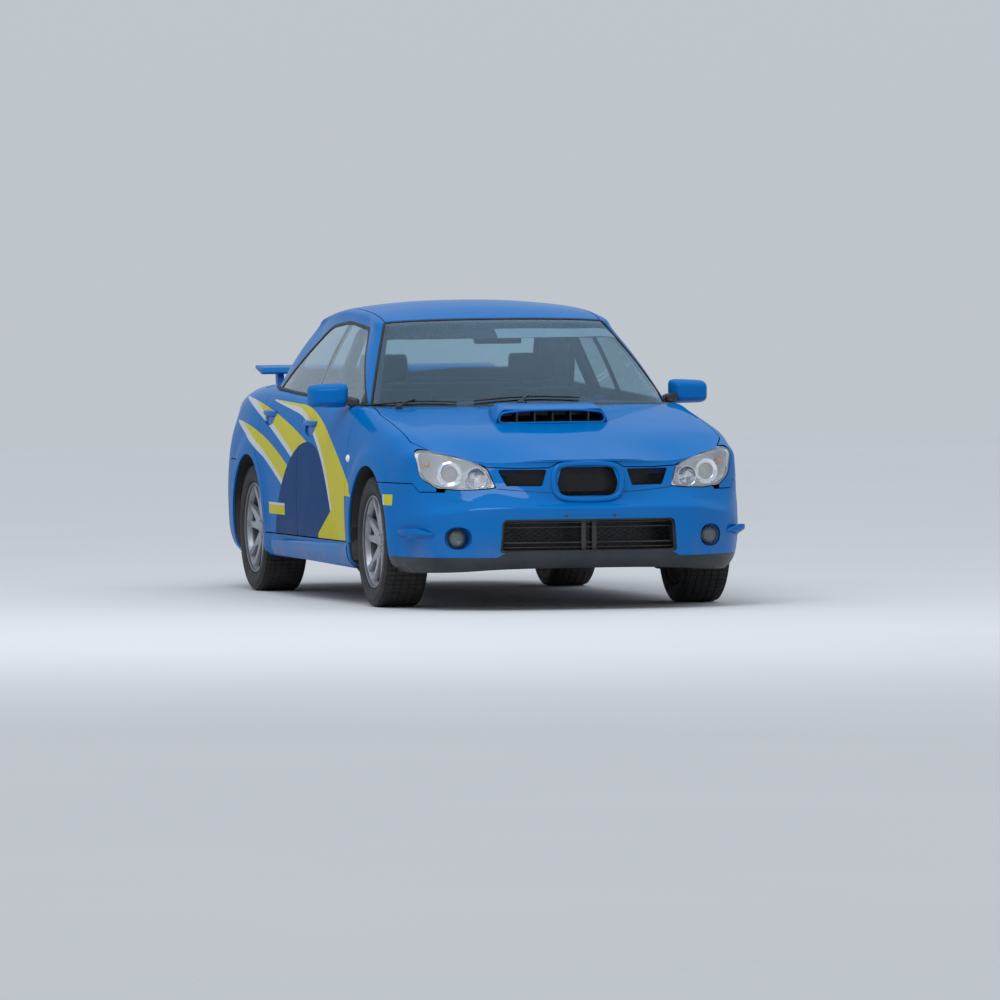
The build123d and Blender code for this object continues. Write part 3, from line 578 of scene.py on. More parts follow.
def grow(outline, amount):
    """An outline moved outwards all round, by its middle."""
    middle_u = sum(row[0] for row in outline) / len(outline)
    middle_v = sum(row[1] for row in outline) / len(outline)
    return tuple(
        (u + math.copysign(amount, u - middle_u), v + math.copysign(amount, v - middle_v), *rest)
        for u, v, *rest in outline
    )


def both_sides(*half):
    """A symmetrical outline from the rows of its left half, in order."""
    return half + tuple((-u, *rest) for u, *rest in half[::-1] if u)


CENTRE_GRILLE = both_sides((130, 541, 25), (150, 600, 60), (126, 677, 25))
SIDE_GRILLE = ((194, 667, 8), (219, 588, 10), (380, 589, 10), (416, 667, 8))
LOWER_INTAKE = both_sides((432, 276, 12), (420, 433, 26))
# The bonnet's front edge from the side to the middle: across, height
NOSE_LINE = (
    (900, 757), (776, 756), (705, 753), (606, 733), (520, 703), (455, 680), (330, 675), (182, 678),
    (136, 702),
)
NOSE = (-2400, -1700)
SIDE = (300, WIDE)
ACROSS = (-WIDE, WIDE)
GLASS = (925, 1700)
# Cutters: the view their outline is drawn in, the outline, and how far they reach along that view
CUTTERS = {
    "left_half": ("side", ((-2600, 0), (2600, 0), (2600, 1700), (-2600, 1700)), 0.5, WIDE),
    "front_door": (
        "side", ((-850, 303, 12), (147.5, 303, 12), (147.5, 1100), (-885, 1100), (-879, 930)), 755, WIDE,
    ),
    "rear_door": ("side", ((152.5, 303, 12), (1027, 303), (1027, 1100), (152.5, 1100)), 740, WIDE),
    "doors_grown": (
        "side", ((-855, 298, 12), (1033, 298), (1033, 1025), (1015, 1100), (-890, 1100), (-884, 930)), *SIDE,
    ),
    "fender": ("side", ((-2160, 298), (-856, 298), (-884, 930), (-886, 1100), (-2160, 1100)), *SIDE),
    "front_bumper": (
        "side",
        (
            (-2600, 100), (-1500, 100), (-1500, 600), (-1900, 600), (-1940, 560), (-2030, 560), (-2060, 900),
            (-2600, 900),
        ),
        *ACROSS,
    ),
    "front_bumper_grown": (
        "side",
        (
            (-2600, 95), (-1495, 95), (-1495, 605), (-1902, 605), (-1942, 565), (-2025, 565), (-2055, 905),
            (-2600, 905),
        ),
        *ACROSS,
    ),
    "front_lamp": (
        "front",
        (
            (430, 584, 8), (500, 577, 90), (600, 574, 90), (690, 582, 60), (752, 630, 70), (774, 762, 30),
            (700, 757, 60), (512, 704, 50), (462, 668, 30),
        ),
        *NOSE,
    ),
    "front_lamp_grown": (
        "front",
        (
            (424, 579, 8), (500, 572, 90), (600, 569, 90), (692, 577, 60), (757, 627, 70), (780, 768, 30),
            (700, 763, 60), (510, 710, 50), (457, 671, 30),
        ),
        *NOSE,
    ),
    "front_lamp_inner": (
        "front",
        (
            (446, 590, 8), (504, 584, 90), (600, 581, 90), (684, 589, 60), (744, 634, 70), (765, 752, 30),
            (700, 749, 60), (517, 697, 50), (470, 664, 30),
        ),
        *NOSE,
    ),
    "bonnet": (
        "plan",
        both_sides(
            (0, -1108), (190, -1098), (380, -1068), (560, -1022), (737, -962), (757, -1150, 400),
            (757, -1765, 120), (688, -1955, 40), (688, -2300),
        ),
        560, 1250,
    ),
    "bonnet_grown": (
        "plan",
        both_sides(
            (0, -1102), (190, -1092), (380, -1062), (560, -1016), (742, -955), (762, -1150, 400),
            (762, -1767, 120), (693, -1958, 40), (693, -2300),
        ),
        560, 1250,
    ),
    "below_bonnet": ("front", both_sides((900, 400), *NOSE_LINE), *NOSE),
    "above_nose": ("front", both_sides((900, 1300), *((x, z - 5) for x, z in NOSE_LINE)), -2400, -1880),
    "lip": ("front", both_sides((WIDE, 100), (WIDE, 252), (446, 252, 20), (393, 282, 14)), -2400, -1560),
    "lip_grown": ("front", both_sides((WIDE, 95), (WIDE, 253), (446, 253, 20), (393, 283, 14)), -2400, -1560),
    "centre_grille": ("front", CENTRE_GRILLE, -2400, -1950),
    "side_grille": ("front", SIDE_GRILLE, -2400, -1950),
    "lower_intake": ("front", LOWER_INTAKE, -2400, -1900),
    "quarter": ("side", ((600, 186), (2260, 186), (2260, 1100), (600, 1100)), *ACROSS),
    "cowl_space": ("plan", both_sides((742, -1150), (742, -800)), 500, 1250),
    "cowl": ("plan", both_sides((738, -1150), (738, -870)), 500, 1250),
    "under_glass": (
        "plan",
        both_sides((748, 600), (742, 950), (645, 1250), (430, 1310), (220, 1326), (0, 1330)),
        700, 1300,
    ),
    "fog_hole": ("front", ((558, 293, 48), (674, 293, 48), (674, 399, 48), (558, 399, 48)), -2400, -1900),
    "tail_hollow": ("front", ((506, 741, 12), (900, 728), (900, 899), (566, 906, 16)), 2000, 2400),
    "exhaust_notch": ("front", ((496, 100), (624, 100), (624, 330, 60), (496, 330, 60)), 2000, 2400),
    "sill": ("side", ((-955, 186), (812, 186), (812, 297), (-955, 297)), *SIDE),
    "sill_grown": ("side", ((-1000, 100), (815, 100), (815, 300), (-1000, 300)), *SIDE),
    "rear_bumper": (
        "side", ((1495, 100), (2600, 100), (2600, 700), (2120, 700), (2060, 640), (1495, 640)), *ACROSS,
    ),
    "rear_bumper_grown": (
        "side", ((1490, 95), (2600, 95), (2600, 705), (2118, 705), (2058, 645), (1490, 645)), *ACROSS,
    ),
    "tail_lamp": ("front", ((500, 735, 15), (900, 722), (900, 905), (560, 912, 20)), 1985, 2400),
    "tail_lamp_grown": ("front", ((497, 732, 15), (900, 719), (900, 908), (557, 915, 20)), 1982, 2400),
    "boot_lid": (
        "plan", both_sides((607, 1395, 30), (637, 1800, 300), (582, 2065, 40), (582, 2300)), 720, 1300,
    ),
    "boot_lid_grown": (
        "plan", both_sides((612, 1390, 30), (642, 1800, 300), (587, 2062, 40), (587, 2300)), 715, 1300,
    ),
    "windscreen": (
        "plan", both_sides((746, -1300), (742, -860), (546, -345), (300, -354), (0, -357)), *GLASS,
    ),
    "windscreen_seal": (
        "plan", both_sides((735, -1300), (731, -860), (537, -353), (300, -363), (0, -366)), 900, 1720,
    ),
    "windscreen_clear": (
        "plan",
        both_sides(
            (0, -1036), (220, -1030), (440, -1005), (706, -905), (523, -372, 60), (300, -380), (0, -383),
        ),
        *GLASS,
    ),
    "roof": ("plan", both_sides((0, -350), (300, -347), (534, -338), (534, 815)), 1100, 1700),
    "roof_grown": ("plan", both_sides((0, -357), (300, -354), (541, -345), (540, 822)), 1100, 1700),
    "rear_window": ("plan", both_sides((538, 822), (622, 1275), (622, 1420)), 960, 1700),
    "rear_seal": ("plan", both_sides((530, 831), (612, 1266), (612, 1420)), 940, 1720),
    "rear_clear": ("plan", both_sides((515, 850, 50), (590, 1240, 60), (0, 1310)), 1000, 1700),
    "sun_strip": (
        "plan", both_sides((0, -362), (540, -350), (640, -462), (450, -500), (225, -522), (0, -528)), *GLASS,
    ),
    "sun_banner": (
        "plan",
        ((-20, -450), (200, -447), (400, -436), (548, -415), (590, -470), (420, -498), (215, -520),
         (-20, -530)),
        *GLASS,
    ),
    "windows": (
        "side",
        (
            (-858, 850), (-858, 930), (-235, 1318, 130), (150, 1346, 1200), (500, 1318, 300), (1012, 1003),
            (1012, 850),
        ),
        *SIDE,
    ),
    "window_clear": (
        "side",
        ((-822, 850), (-822, 940), (-224, 1303, 120), (150, 1331, 1200), (494, 1303, 290), (978, 1008),
         (978, 850)),
        *SIDE,
    ),
    "lamp_depth": (
        "plan", ((380, -2400), (900, -2400), (900, -1690), (790, -1690), (430, -2010),
        (380, -2010)), 400, 900,
    ),
    "lamp_front": (
        "plan", ((380, -2400), (900, -2400), (900, -1730), (780, -1730), (424, -2030),
        (380, -2030)), 400, 900,
    ),
    "nose_band": (
        "plan", both_sides((700, -2400), (700, -2000), (560, -2060), (430, -2105), (0, -2140)), 100, 900,
    ),
    "intake_inner": ("front", both_sides((420, 286, 10), (409, 424, 20)), -2400, -1900),
    "fog_cup": ("front", ((554, 289, 50), (678, 289, 50), (678, 403, 50), (554, 403, 50)), -2400, -2052),
    "fog_cup_hollow": ("front", ((558, 293, 48), (674, 293, 48), (674, 399, 48),
    (558, 399, 48)), -2400, -2066),
    "post": ("side", ((100, 900), (196, 900), (196, 1400), (100, 1400)), *SIDE),
    "front_pane": ("side", ((-900, 900), (147, 900), (147, 1400), (-900, 1400)), *SIDE),
    "rear_pane": ("side", ((153, 900), (1100, 900), (1100, 1400), (153, 1400)), *SIDE),
    "sail": ("side", ((-880, 900), (-705, 900), (-705, 1400), (-880, 1400)), *SIDE),
    "front_door_card": (
        "side", ((-832, 330, 20), (132, 330, 20), (132, 1060), (-856, 1060), (-856, 930)), 745, WIDE,
    ),
    "rear_door_card": ("side", ((168, 330, 20), (1010, 330), (1010, 1080), (168, 1080)), 730, WIDE),
    "front_door_well": (
        "side", ((-150, 808, 34), (-150, 850, 20), (52, 850, 20), (52, 808, 34), (-50, 786, 200)), *SIDE,
    ),
    "rear_door_well": (
        "side", ((732, 840, 34), (732, 882, 20), (934, 882, 20), (934, 840, 34), (834, 818, 200)), *SIDE,
    ),
}
# Cutters made from two others
COMBINED = {
    "doors_not_arch": ("doors_grown", "door_arch_grown", "DIFFERENCE"),
    "lamp_hollow": ("front_lamp_inner", "lamp_front", "INTERSECT"),
}
# Round cutters: along, height, radius
DRUMS = {
    "front_arch": (FRONT_AXLE_Y, ARCH_Z, ARCH_RADIUS),
    "rear_arch": (REAR_AXLE_Y, ARCH_Z, ARCH_RADIUS),
    "door_arch": (REAR_AXLE_Y, ARCH_Z, 405.0),
    "door_arch_grown": (REAR_AXLE_Y, ARCH_Z, 400.0),
    "door_arch_trim": (REAR_AXLE_Y, ARCH_Z, 422.0),
}


def drum(name, along, height, radius, low, high, steps=96):
    """A cylinder lying across the car, in millimetres."""
    deselect()
    bpy.ops.mesh.primitive_cylinder_add(
        vertices=steps, radius=radius * MM, depth=(high - low) * MM,
        location=((low + high) / 2 * MM, along * MM, height * MM), rotation=(0, math.pi / 2, 0),
    )
    return settle(named(name))


# What the operators pass on: the cutters made so far, and the surfaces and shells that panels are cut from
WORK = {"cutters": {}, "shells": {}, "surface": None, "cabin_surface": None}


def cutter(name):
    """A named cutter, made when it is first asked for."""
    made = WORK["cutters"]
    label = "cut_" + name
    if name not in made:
        if name.endswith("_right"):
            made[name] = mirrored(cutter(name[:-6]), label)
        elif name in COMBINED:
            first, second, operation = COMBINED[name]
            made[name] = carve(copy_of(cutter(first), label), cutter(second), operation)
        elif name in DRUMS:
            made[name] = drum(label, *DRUMS[name], 300, WIDE)
        else:
            made[name] = prism(label, *CUTTERS[name])
    return made[name]


def cut_out(shell, name, keep, remove=()):
    """A panel of a shell: what lies inside every keep cutter and outside every remove cutter."""
    panel = copy_of(WORK["shells"][shell], name)
    for tool in keep:
        carve(panel, cutter(tool), "INTERSECT")
    for tool in remove:
        carve(panel, cutter(tool))
    return drop_crumbs(panel)


def stamped(shell, name, seen, outline, low, high):
    """The part of a shell inside an outline."""
    piece = copy_of(WORK["shells"][shell], name)
    stamp = prism("stamp", seen, outline, low, high)
    carve(piece, stamp, "INTERSECT")
    discard(stamp)
    return drop_crumbs(piece)


def drop_crumbs(piece, least=24):
    """Deletes loose bits with few faces that a cut leaves."""
    edit(piece, "DESELECT")
    mesh = bmesh.from_edit_mesh(piece.data)
    left = set(mesh.verts)
    while left:
        island, front = set(), [next(iter(left))]
        while front:
            vertex = front.pop()
            if vertex in island:
                continue
            island.add(vertex)
            front.extend(edge.other_vert(vertex) for edge in vertex.link_edges)
        left -= island
        if len(island) < least:
            bmesh.ops.delete(mesh, geom=list(island), context="VERTS")
    bmesh.update_edit_mesh(piece.data)
    done()
    return piece



# Panels: name, shell, keep, remove, body, slot, replaced nodes, and whether a right-hand twin is made
PANELS = (
    ("bonnet_panel", "lower", ("bonnet",), ("below_bonnet",), "bonnet", "blue_paint", ("bonnet",), False),
    (
        "fender_panel", "lower_left", ("fender",),
        ("front_bumper_grown", "front_lamp_grown", "bonnet_grown", "front_arch", "cowl_space"),
        "car_body", "blue_paint", ("front_fenders",), True,
    ),
    (
        "front_bumper_panel", "lower", ("front_bumper",),
        (
            "front_lamp_grown", "front_lamp_grown_right", "above_nose", "front_arch", "front_arch_right",
            "lip_grown", "centre_grille", "side_grille", "side_grille_right", "lower_intake", "fog_hole",
            "fog_hole_right",
        ),
        "car_body", "blue_paint", ("front_bumper",), False,
    ),
    (
        "lip_panel", "lower", ("front_bumper", "lip"), ("front_arch", "front_arch_right"),
        "car_body", "lip_plastic", ("front_lip",), False,
    ),
    ("cowl_panel", "lower", ("cowl",), ("bonnet_grown",), "car_body", "black_trim", ("cowl",), False),
    (
        "front_door_skin", "lower_left", ("front_door",), ("front_door_well",),
        "front_door", "blue_paint", (), True,
    ),
    (
        "rear_door_skin", "lower_left", ("rear_door",), ("door_arch", "rear_door_well"),
        "rear_door", "blue_paint", (), True,
    ),
    (
        "quarter_panel", "lower", ("quarter",),
        (
            "sill_grown", "sill_grown_right", "doors_not_arch", "doors_not_arch_right", "rear_arch",
            "rear_arch_right", "rear_bumper_grown", "tail_lamp_grown", "tail_lamp_grown_right",
            "boot_lid_grown",
            "under_glass",
        ),
        "car_body", "blue_paint", ("rear_quarters", "rear_deck"), False,
    ),
    ("sill_panel", "lower_left", ("sill",), (), "car_body", "blue_paint", ("sills",), True),
    (
        "rear_bumper_panel", "lower", ("rear_bumper",),
        (
            "rear_arch", "rear_arch_right", "boot_lid_grown", "tail_lamp_grown", "tail_lamp_grown_right",
            "exhaust_notch",
        ),
        "car_body", "blue_paint", ("rear_bumper",), False,
    ),
    ("boot_lid_panel", "lower", ("boot_lid",), (), "boot_lid", "blue_paint", ("boot_lid",), False),
)


def build_panels():
    """Cuts every painted panel from the drawn shells."""
    for name, shell, keep, remove, body, slot, nodes, twin in PANELS:
        panel = smooth(cut_out(shell, name + ("_left" if twin else ""), keep, remove))
        door = body.endswith("_door")
        if twin:
            other = smooth(mirrored(panel, name + "_right"))
            side_nodes = (body + "_right",) if door else nodes
            fit(other, body + ("_right" if door else ""), slot, slot, *side_nodes)
        fit(panel, body + ("_left" if door else ""), slot, slot, *((body + "_left",) if door else nodes))


# Materials


class Finish:
    """One procedural material on object coordinates: short calls that add and join its nodes."""

    def __init__(self, name, **sockets):
        self.material = bpy.data.materials.new(name)
        self.material.use_nodes = True
        self.tree = self.material.node_tree
        self.shader = self.tree.nodes["Principled BSDF"]
        for key, value in sockets.items():
            self.shader.inputs[key.replace("_", " ").title().replace("Ior", "IOR")].default_value = value
        self.place = self.tree.nodes.new("ShaderNodeTexCoord").outputs["Object"]
        self.split = None

    def put(self, socket, value):
        """Sets a socket to a value, or joins another node's output to it."""
        if isinstance(value, bpy.types.NodeSocket):
            self.tree.links.new(value, socket)
        else:
            socket.default_value = value

    def axis(self, letter):
        """One of the point's three coordinates, in metres."""
        if self.split is None:
            self.split = self.tree.nodes.new("ShaderNodeSeparateXYZ")
            self.put(self.split.inputs[0], self.place)
        return self.split.outputs[letter]

    def math(self, operation, first, second=0.0, third=0.0):
        node = self.tree.nodes.new("ShaderNodeMath")
        node.operation = operation
        for socket, value in zip(node.inputs, (first, second, third)):
            self.put(socket, value)
        return node.outputs[0]

    def noise(self, scale, detail=3.0, stretch=None, kind="ShaderNodeTexNoise"):
        place = self.place
        if stretch:
            mapping = self.tree.nodes.new("ShaderNodeMapping")
            mapping.inputs["Scale"].default_value = stretch
            self.put(mapping.inputs[0], place)
            place = mapping.outputs[0]
        node = self.tree.nodes.new(kind)
        node.inputs["Scale"].default_value = scale
        if "Detail" in node.inputs:
            node.inputs["Detail"].default_value = detail
        self.put(node.inputs["Vector"], place)
        return node.outputs["Fac"] if "Fac" in node.outputs else node.outputs[0]

    def span(self, value, low, high, to_low=0.0, to_high=1.0):
        """Maps a value from one span to another, smoothly, and keeps it there."""
        node = self.tree.nodes.new("ShaderNodeMapRange")
        node.interpolation_type = "SMOOTHSTEP"
        for socket, number in zip(node.inputs, (value, low, high, to_low, to_high)):
            self.put(socket, number)
        return node.outputs[0]

    def mix(self, share, first, second):
        node = self.tree.nodes.new("ShaderNodeMix")
        node.data_type = "RGBA"
        self.put(node.inputs[0], share)
        self.put(node.inputs[6], first)
        self.put(node.inputs[7], second)
        return node.outputs[2]

    def colour(self, value):
        self.put(self.shader.inputs["Base Color"], value)

    def rough(self, value):
        self.put(self.shader.inputs["Roughness"], value)

    def coat(self, value):
        self.put(self.shader.inputs["Coat Weight"], value)

    def bump(self, height, strength, distance=0.001):
        node = self.tree.nodes.new("ShaderNodeBump")
        node.inputs["Strength"].default_value = strength
        node.inputs["Distance"].default_value = distance
        self.put(node.inputs["Height"], height)
        self.put(self.shader.inputs["Normal"], node.outputs[0])

    def within(self, *tests):
        """1 where every test is 1."""
        result = tests[0]
        for test in tests[1:]:
            result = self.math("MULTIPLY", result, test)
        return result

    def either(self, *tests):
        """1 where any test is 1."""
        result = tests[0]
        for test in tests[1:]:
            result = self.math("MAXIMUM", result, test)
        return result

    def between(self, value, low, high):
        return self.within(self.more(value, low), self.less(value, high))

    def less(self, first, second):
        return self.math("LESS_THAN", first, second)

    def more(self, first, second):
        return self.math("GREATER_THAN", first, second)

    def disc_distance(self, along, height):
        """Distance in the side view from a centre, in metres."""
        run = self.math("SUBTRACT", self.axis("Y"), along * MM)
        rise = self.math("SUBTRACT", self.axis("Z"), height * MM)
        return self.math("SQRT", self.math("MULTIPLY_ADD", run, run, self.math("MULTIPLY", rise, rise)))

    def line(self, along, height, slope, curve=0.0):
        """Height above a line in the side view that passes a point with a slope, in metres."""
        run = self.math("SUBTRACT", self.axis("Y"), along * MM)
        bend = self.math("MULTIPLY", self.math("MULTIPLY", run, run), curve / MM)
        level = self.math("ADD", self.math("MULTIPLY_ADD", run, slope, height * MM), bend)
        return self.math("SUBTRACT", self.axis("Z"), level)


DUST = (0.21, 0.165, 0.13, 1.0)
PAINT_COAT = 0.45


def shade(colour, factor):
    return tuple(min(channel * factor, 1.0) for channel in colour[:3]) + (1.0,)


def plain_finish(name, colour, roughness, grain=220.0, bump=0.15, spread=0.12, dust=0.0, **sockets):
    """A moulded, cast or painted surface: colour and gloss that vary a little, and a fine grain."""
    finish = Finish(name, **sockets)
    cloud = finish.noise(9.0, 4.0)
    base = finish.mix(finish.span(cloud, 0.3, 0.7), shade(colour, 1 - spread), shade(colour, 1 + spread))
    if dust:
        low = finish.span(finish.axis("Z"), 0.75, 0.1)
        grime = finish.math("MULTIPLY", low, finish.span(finish.noise(5.0, 6.0), 0.35, 0.75, 0.0, dust))
        base = finish.mix(grime, base, DUST)
    finish.colour(base)
    haze = finish.noise(26.0, 3.0)
    finish.rough(finish.span(haze, 0.25, 0.75, max(roughness - 0.06, 0.02), roughness + 0.08))
    finish.bump(finish.noise(grain, 2.0), bump)
    return finish.material


def clear_finish(name, colour, **sockets):
    """Glass or a clear moulding: a smooth surface whose tint and gloss vary very slightly."""
    finish = Finish(name, **sockets)
    cloud = finish.span(finish.noise(2.0, 2.0), 0.3, 0.7)
    finish.colour(finish.mix(cloud, shade(colour, 0.985), shade(colour, 1.015)))
    finish.rough(finish.span(finish.noise(3.0, 2.0), 0.3, 0.7, 0.012, 0.03))
    return finish.material


def paint_finish(name, colours, striped, dark_above=None):
    """The body paint: striped on the sides or plain, and black above a height in metres if one is given."""
    finish = Finish(name, coat_weight=PAINT_COAT, coat_roughness=0.04, roughness=0.45, ior=1.03)
    flake = finish.span(finish.noise(700.0, 0.0, kind="ShaderNodeTexVoronoi"), 0.1, 0.9)
    depth = finish.span(finish.noise(1.6, 2.0), 0.3, 0.7)
    base = finish.mix(flake, shade(colours.blue, 0.97), shade(colours.blue, 1.04))
    base = finish.mix(finish.math("MULTIPLY", depth, 0.25), base, shade(colours.blue, 0.86))
    if striped:
        tints = [shade(colour, 1) for colour in (colours.navy, colours.yellow, colours.white)]
        base = add_stripes(finish, base, *tints)
    if dark_above:
        base = finish.mix(finish.more(finish.axis("Z"), dark_above), base, (0.018, 0.018, 0.02, 1.0))
    low = finish.span(finish.axis("Z"), 0.42, 0.16)
    dirt = finish.math("MULTIPLY", low, finish.span(finish.noise(7.0, 6.0), 0.42, 0.78, 0.0, 0.45))
    finish.colour(finish.mix(dirt, base, DUST))
    finish.rough(finish.span(finish.noise(5.0, 3.0), 0.3, 0.7, 0.34, 0.44))
    return finish.material


BALL_RADIUS = 0.717
RING_RADIUS = 0.768
# Where the yellow belt's front, middle and tail parts meet, and its foot's ends, in metres along the car
BELT_FRONT = -0.193
BELT_TAIL = 0.283
FOOT_FRONT = -0.852
FOOT_BACK = -0.293
OVERLAP = 0.0001
# Two bands on the rear quarter: their upper and lower edge, each (along, height, slope, curve)
QUARTER_BANDS = (
    ((-41, 757, 0.215, -0.0000575), (324, 692, 0.30, -0.000077)),
    ((372, 644, 0.30, -0.000117), (474, 544, 0.34, -0.00008)),
)


def add_stripes(finish, base, navy, yellow, white):
    """Curved yellow bands with white borders, a dark round field on the doors, and the fender markers."""
    within, less, more, line = finish.within, finish.less, finish.more, finish.line
    between, mix, either = finish.between, finish.mix, finish.either
    along, up = finish.axis("Y"), finish.axis("Z")
    out = finish.math("ABSOLUTE", finish.axis("X"))
    flank = more(out, 0.7)
    side = within(flank, between(along, -1.02, 1.95), more(up, 0.3))

    ball = finish.disc_distance(-46, 44)
    field = within(side, less(ball, BALL_RADIUS), less(up, 0.80))
    base = mix(field, base, navy)
    gloss = finish.span(out, 0.74, 0.85, PAINT_COAT, 0.22)
    finish.coat(finish.math("MINIMUM", gloss, finish.math("MULTIPLY_ADD", field, -0.33, PAINT_COAT)))

    front = less(along, BELT_FRONT)
    under_top = less(line(276, 940, -0.0018, -0.000249), 0.0)
    ring = finish.disc_distance(109, 67)
    swoop = line(92, 868, 0.2264, -0.0003628)
    lead = within(front, under_top, more(ring, RING_RADIUS))
    middle = within(between(along, BELT_FRONT - OVERLAP, BELT_TAIL), under_top, more(swoop, 0.0))
    tail = within(between(along, BELT_TAIL - OVERLAP, 0.832), more(line(283, 898, 0.087), 0.0))
    tail = within(tail, less(line(283, 940, 0.023), 0.0))
    low_front = within(less(up, 0.52), less(along, FOOT_FRONT))
    belt = within(either(lead, middle, tail), side, finish.math("SUBTRACT", 1.0, low_front))
    foot = within(side, less(line(-293, 323, -0.42), 0.0), more(up, 0.303))
    foot = within(foot, between(along, FOOT_FRONT, FOOT_BACK))
    inset = either(within(front, more(ring, RING_RADIUS + 0.032)), foot, more(swoop, 0.027))
    rear = within(more(along, BELT_TAIL - OVERLAP), more(line(283, 924, 0.046), 0.0))
    inset = either(within(inset, less(along, BELT_TAIL)), rear)
    belt = either(belt, foot)
    base = mix(within(belt, inset), mix(belt, base, white), yellow)

    for upper, lower in QUARTER_BANDS:
        bottom = line(*lower)
        band = within(side, more(ball, BALL_RADIUS), less(line(*upper), 0.0), more(bottom, 0.0))
        band = within(band, between(along, -0.1, 1.62))
        base = mix(within(band, more(bottom, 0.03)), mix(band, base, white), yellow)

    flash = within(side, between(along, 0.404, 0.74), between(up, 0.395, 0.452))
    base = mix(within(flash, less(up, 0.44)), mix(flash, base, white), yellow)

    tag = within(flank, between(along, -1.738, -1.632), between(up, 0.496, 0.547))
    return mix(within(tag, less(along, -1.652)), mix(tag, base, white), yellow)


# Plain finishes: colour, roughness, and what sets each apart
PLAIN = {
    "black_trim": ((0.018, 0.018, 0.02), 0.42, {"dust": 0.25}),
    "gloss_black": ((0.012, 0.012, 0.014), 0.16, {"bump": 0.05}),
    "rubber_seal": ((0.014, 0.014, 0.015), 0.55, {"bump": 0.1}),
    "lip_plastic": ((0.011, 0.018, 0.028), 0.45, {"bump": 0.12, "spread": 0.2, "dust": 0.06}),
    "mesh_black": ((0.02, 0.021, 0.024), 0.35, {"bump": 0.05}),
    "chrome": ((0.82, 0.83, 0.85), 0.09, {"metallic": 1.0, "bump": 0.02, "spread": 0.03}),
    "lamp_grey": ((0.34, 0.35, 0.37), 0.22, {"metallic": 0.6, "bump": 0.02, "spread": 0.05}),
    "lamp_silver": ((0.84, 0.89, 0.95), 0.25, {"bump": 0.02, "spread": 0.08}),
    "underbody": ((0.02, 0.055, 0.2), 0.55, {"dust": 0.8, "bump": 0.3}),
    "cast_metal": ((0.33, 0.33, 0.34), 0.55, {"metallic": 0.8, "bump": 0.6, "grain": 90.0, "dust": 0.5}),
    "exhaust_steel": ((0.45, 0.44, 0.42), 0.38, {"metallic": 1.0, "bump": 0.2, "dust": 0.45}),
    "chassis_black": ((0.03, 0.03, 0.032), 0.5, {"bump": 0.3, "dust": 0.7}),
    "dash_plastic": ((0.035, 0.036, 0.04), 0.6, {"bump": 0.12, "grain": 300.0}),
    "head_lining": ((0.32, 0.32, 0.31), 0.9, {"bump": 0.4, "grain": 700.0}),
    "tyre_rubber": ((0.012, 0.013, 0.015), 0.72, {"bump": 0.2, "grain": 300.0, "dust": 0.14}),
    "rim_silver": ((0.36, 0.38, 0.42), 0.36, {"metallic": 0.5, "bump": 0.03, "dust": 0.25}),
    "rim_dark": ((0.10, 0.10, 0.11), 0.5, {"metallic": 0.3, "bump": 0.1, "dust": 0.25}),
    "disc_steel": ((0.4, 0.4, 0.41), 0.3, {"metallic": 1.0}),
    "caliper_grey": ((0.2, 0.2, 0.21), 0.45, {"metallic": 0.5, "bump": 0.3, "dust": 0.4}),
    "red_lens": ((0.5, 0.012, 0.014), 0.08, {"bump": 0.02, "coat_weight": 1.0, "transmission_weight": 0.25}),
    "amber_lens": ((0.75, 0.2, 0.02), 0.12, {"bump": 0.02, "transmission_weight": 0.35}),
    "white_film": ((0.78, 0.79, 0.8), 0.35, {"bump": 0.02, "spread": 0.03}),
    "dark_film": ((0.02, 0.024, 0.03), 0.25, {"bump": 0.02}),
}
CLEAR = {
    "glass": (
        (0.60, 0.75, 0.82), {"transmission_weight": 1.0, "ior": 1.62, "specular_tint": (0.8, 0.96, 1.0, 1.0)},
    ),
    "clear_lens": ((0.72, 0.75, 0.78), {"alpha": 0.16, "coat_weight": 1.0}),
    "fog_glass": ((0.12, 0.14, 0.16), {"alpha": 0.35, "coat_weight": 1.0}),
}
POST_DARK_HEIGHT = 0.965


def make_materials(colours):
    """Every finish on the car, by slot or by use."""
    made = {
        "blue_paint": paint_finish("blue_paint", colours, True),
        "plain_blue": paint_finish("plain_blue", colours, False),
        "post_paint": paint_finish("post_paint", colours, False, POST_DARK_HEIGHT),
        "seat_fabric": cloth_finish("seat_fabric", (0.035, 0.037, 0.045)),
    }
    for name, (colour, roughness, extra) in PLAIN.items():
        made[name] = plain_finish(name, colour, roughness, **extra)
    for name, (colour, extra) in CLEAR.items():
        made[name] = clear_finish(name, colour, **extra)
    return made


def cloth_finish(name, colour):
    """Woven cloth: threads both ways, with soft wear."""
    finish = Finish(name, roughness=0.88, sheen_weight=0.35, sheen_roughness=0.5)
    threads = []
    for letter in "XZ":
        wave = finish.math("SINE", finish.math("MULTIPLY", finish.axis(letter), 2200.0))
        threads.append(finish.span(wave, -1.0, 1.0))
    weave = finish.math("MULTIPLY", threads[0], threads[1])
    wear = finish.span(finish.noise(6.0, 4.0), 0.35, 0.7)
    base = finish.mix(weave, shade(colour, 0.88), shade(colour, 1.12))
    finish.colour(finish.mix(finish.math("MULTIPLY", wear, 0.3), base, shade(colour, 1.5)))
    finish.bump(weave, 0.15, 0.0005)
    return finish.material


# Shells


# Shells of the glasshouse: wall, and how far each is sunk below the drawn surface
CABIN_SHELLS = {
    "cabin": (12.0,),
    "glass": (4.0, 3.0),
    "film": (1.0, 8.4),
    "banner": (0.8, 7.2),
    "lining": (3.0, 15.0),
}
LENS_WALL = 4.0
SOLID_DEPTH = 13.0


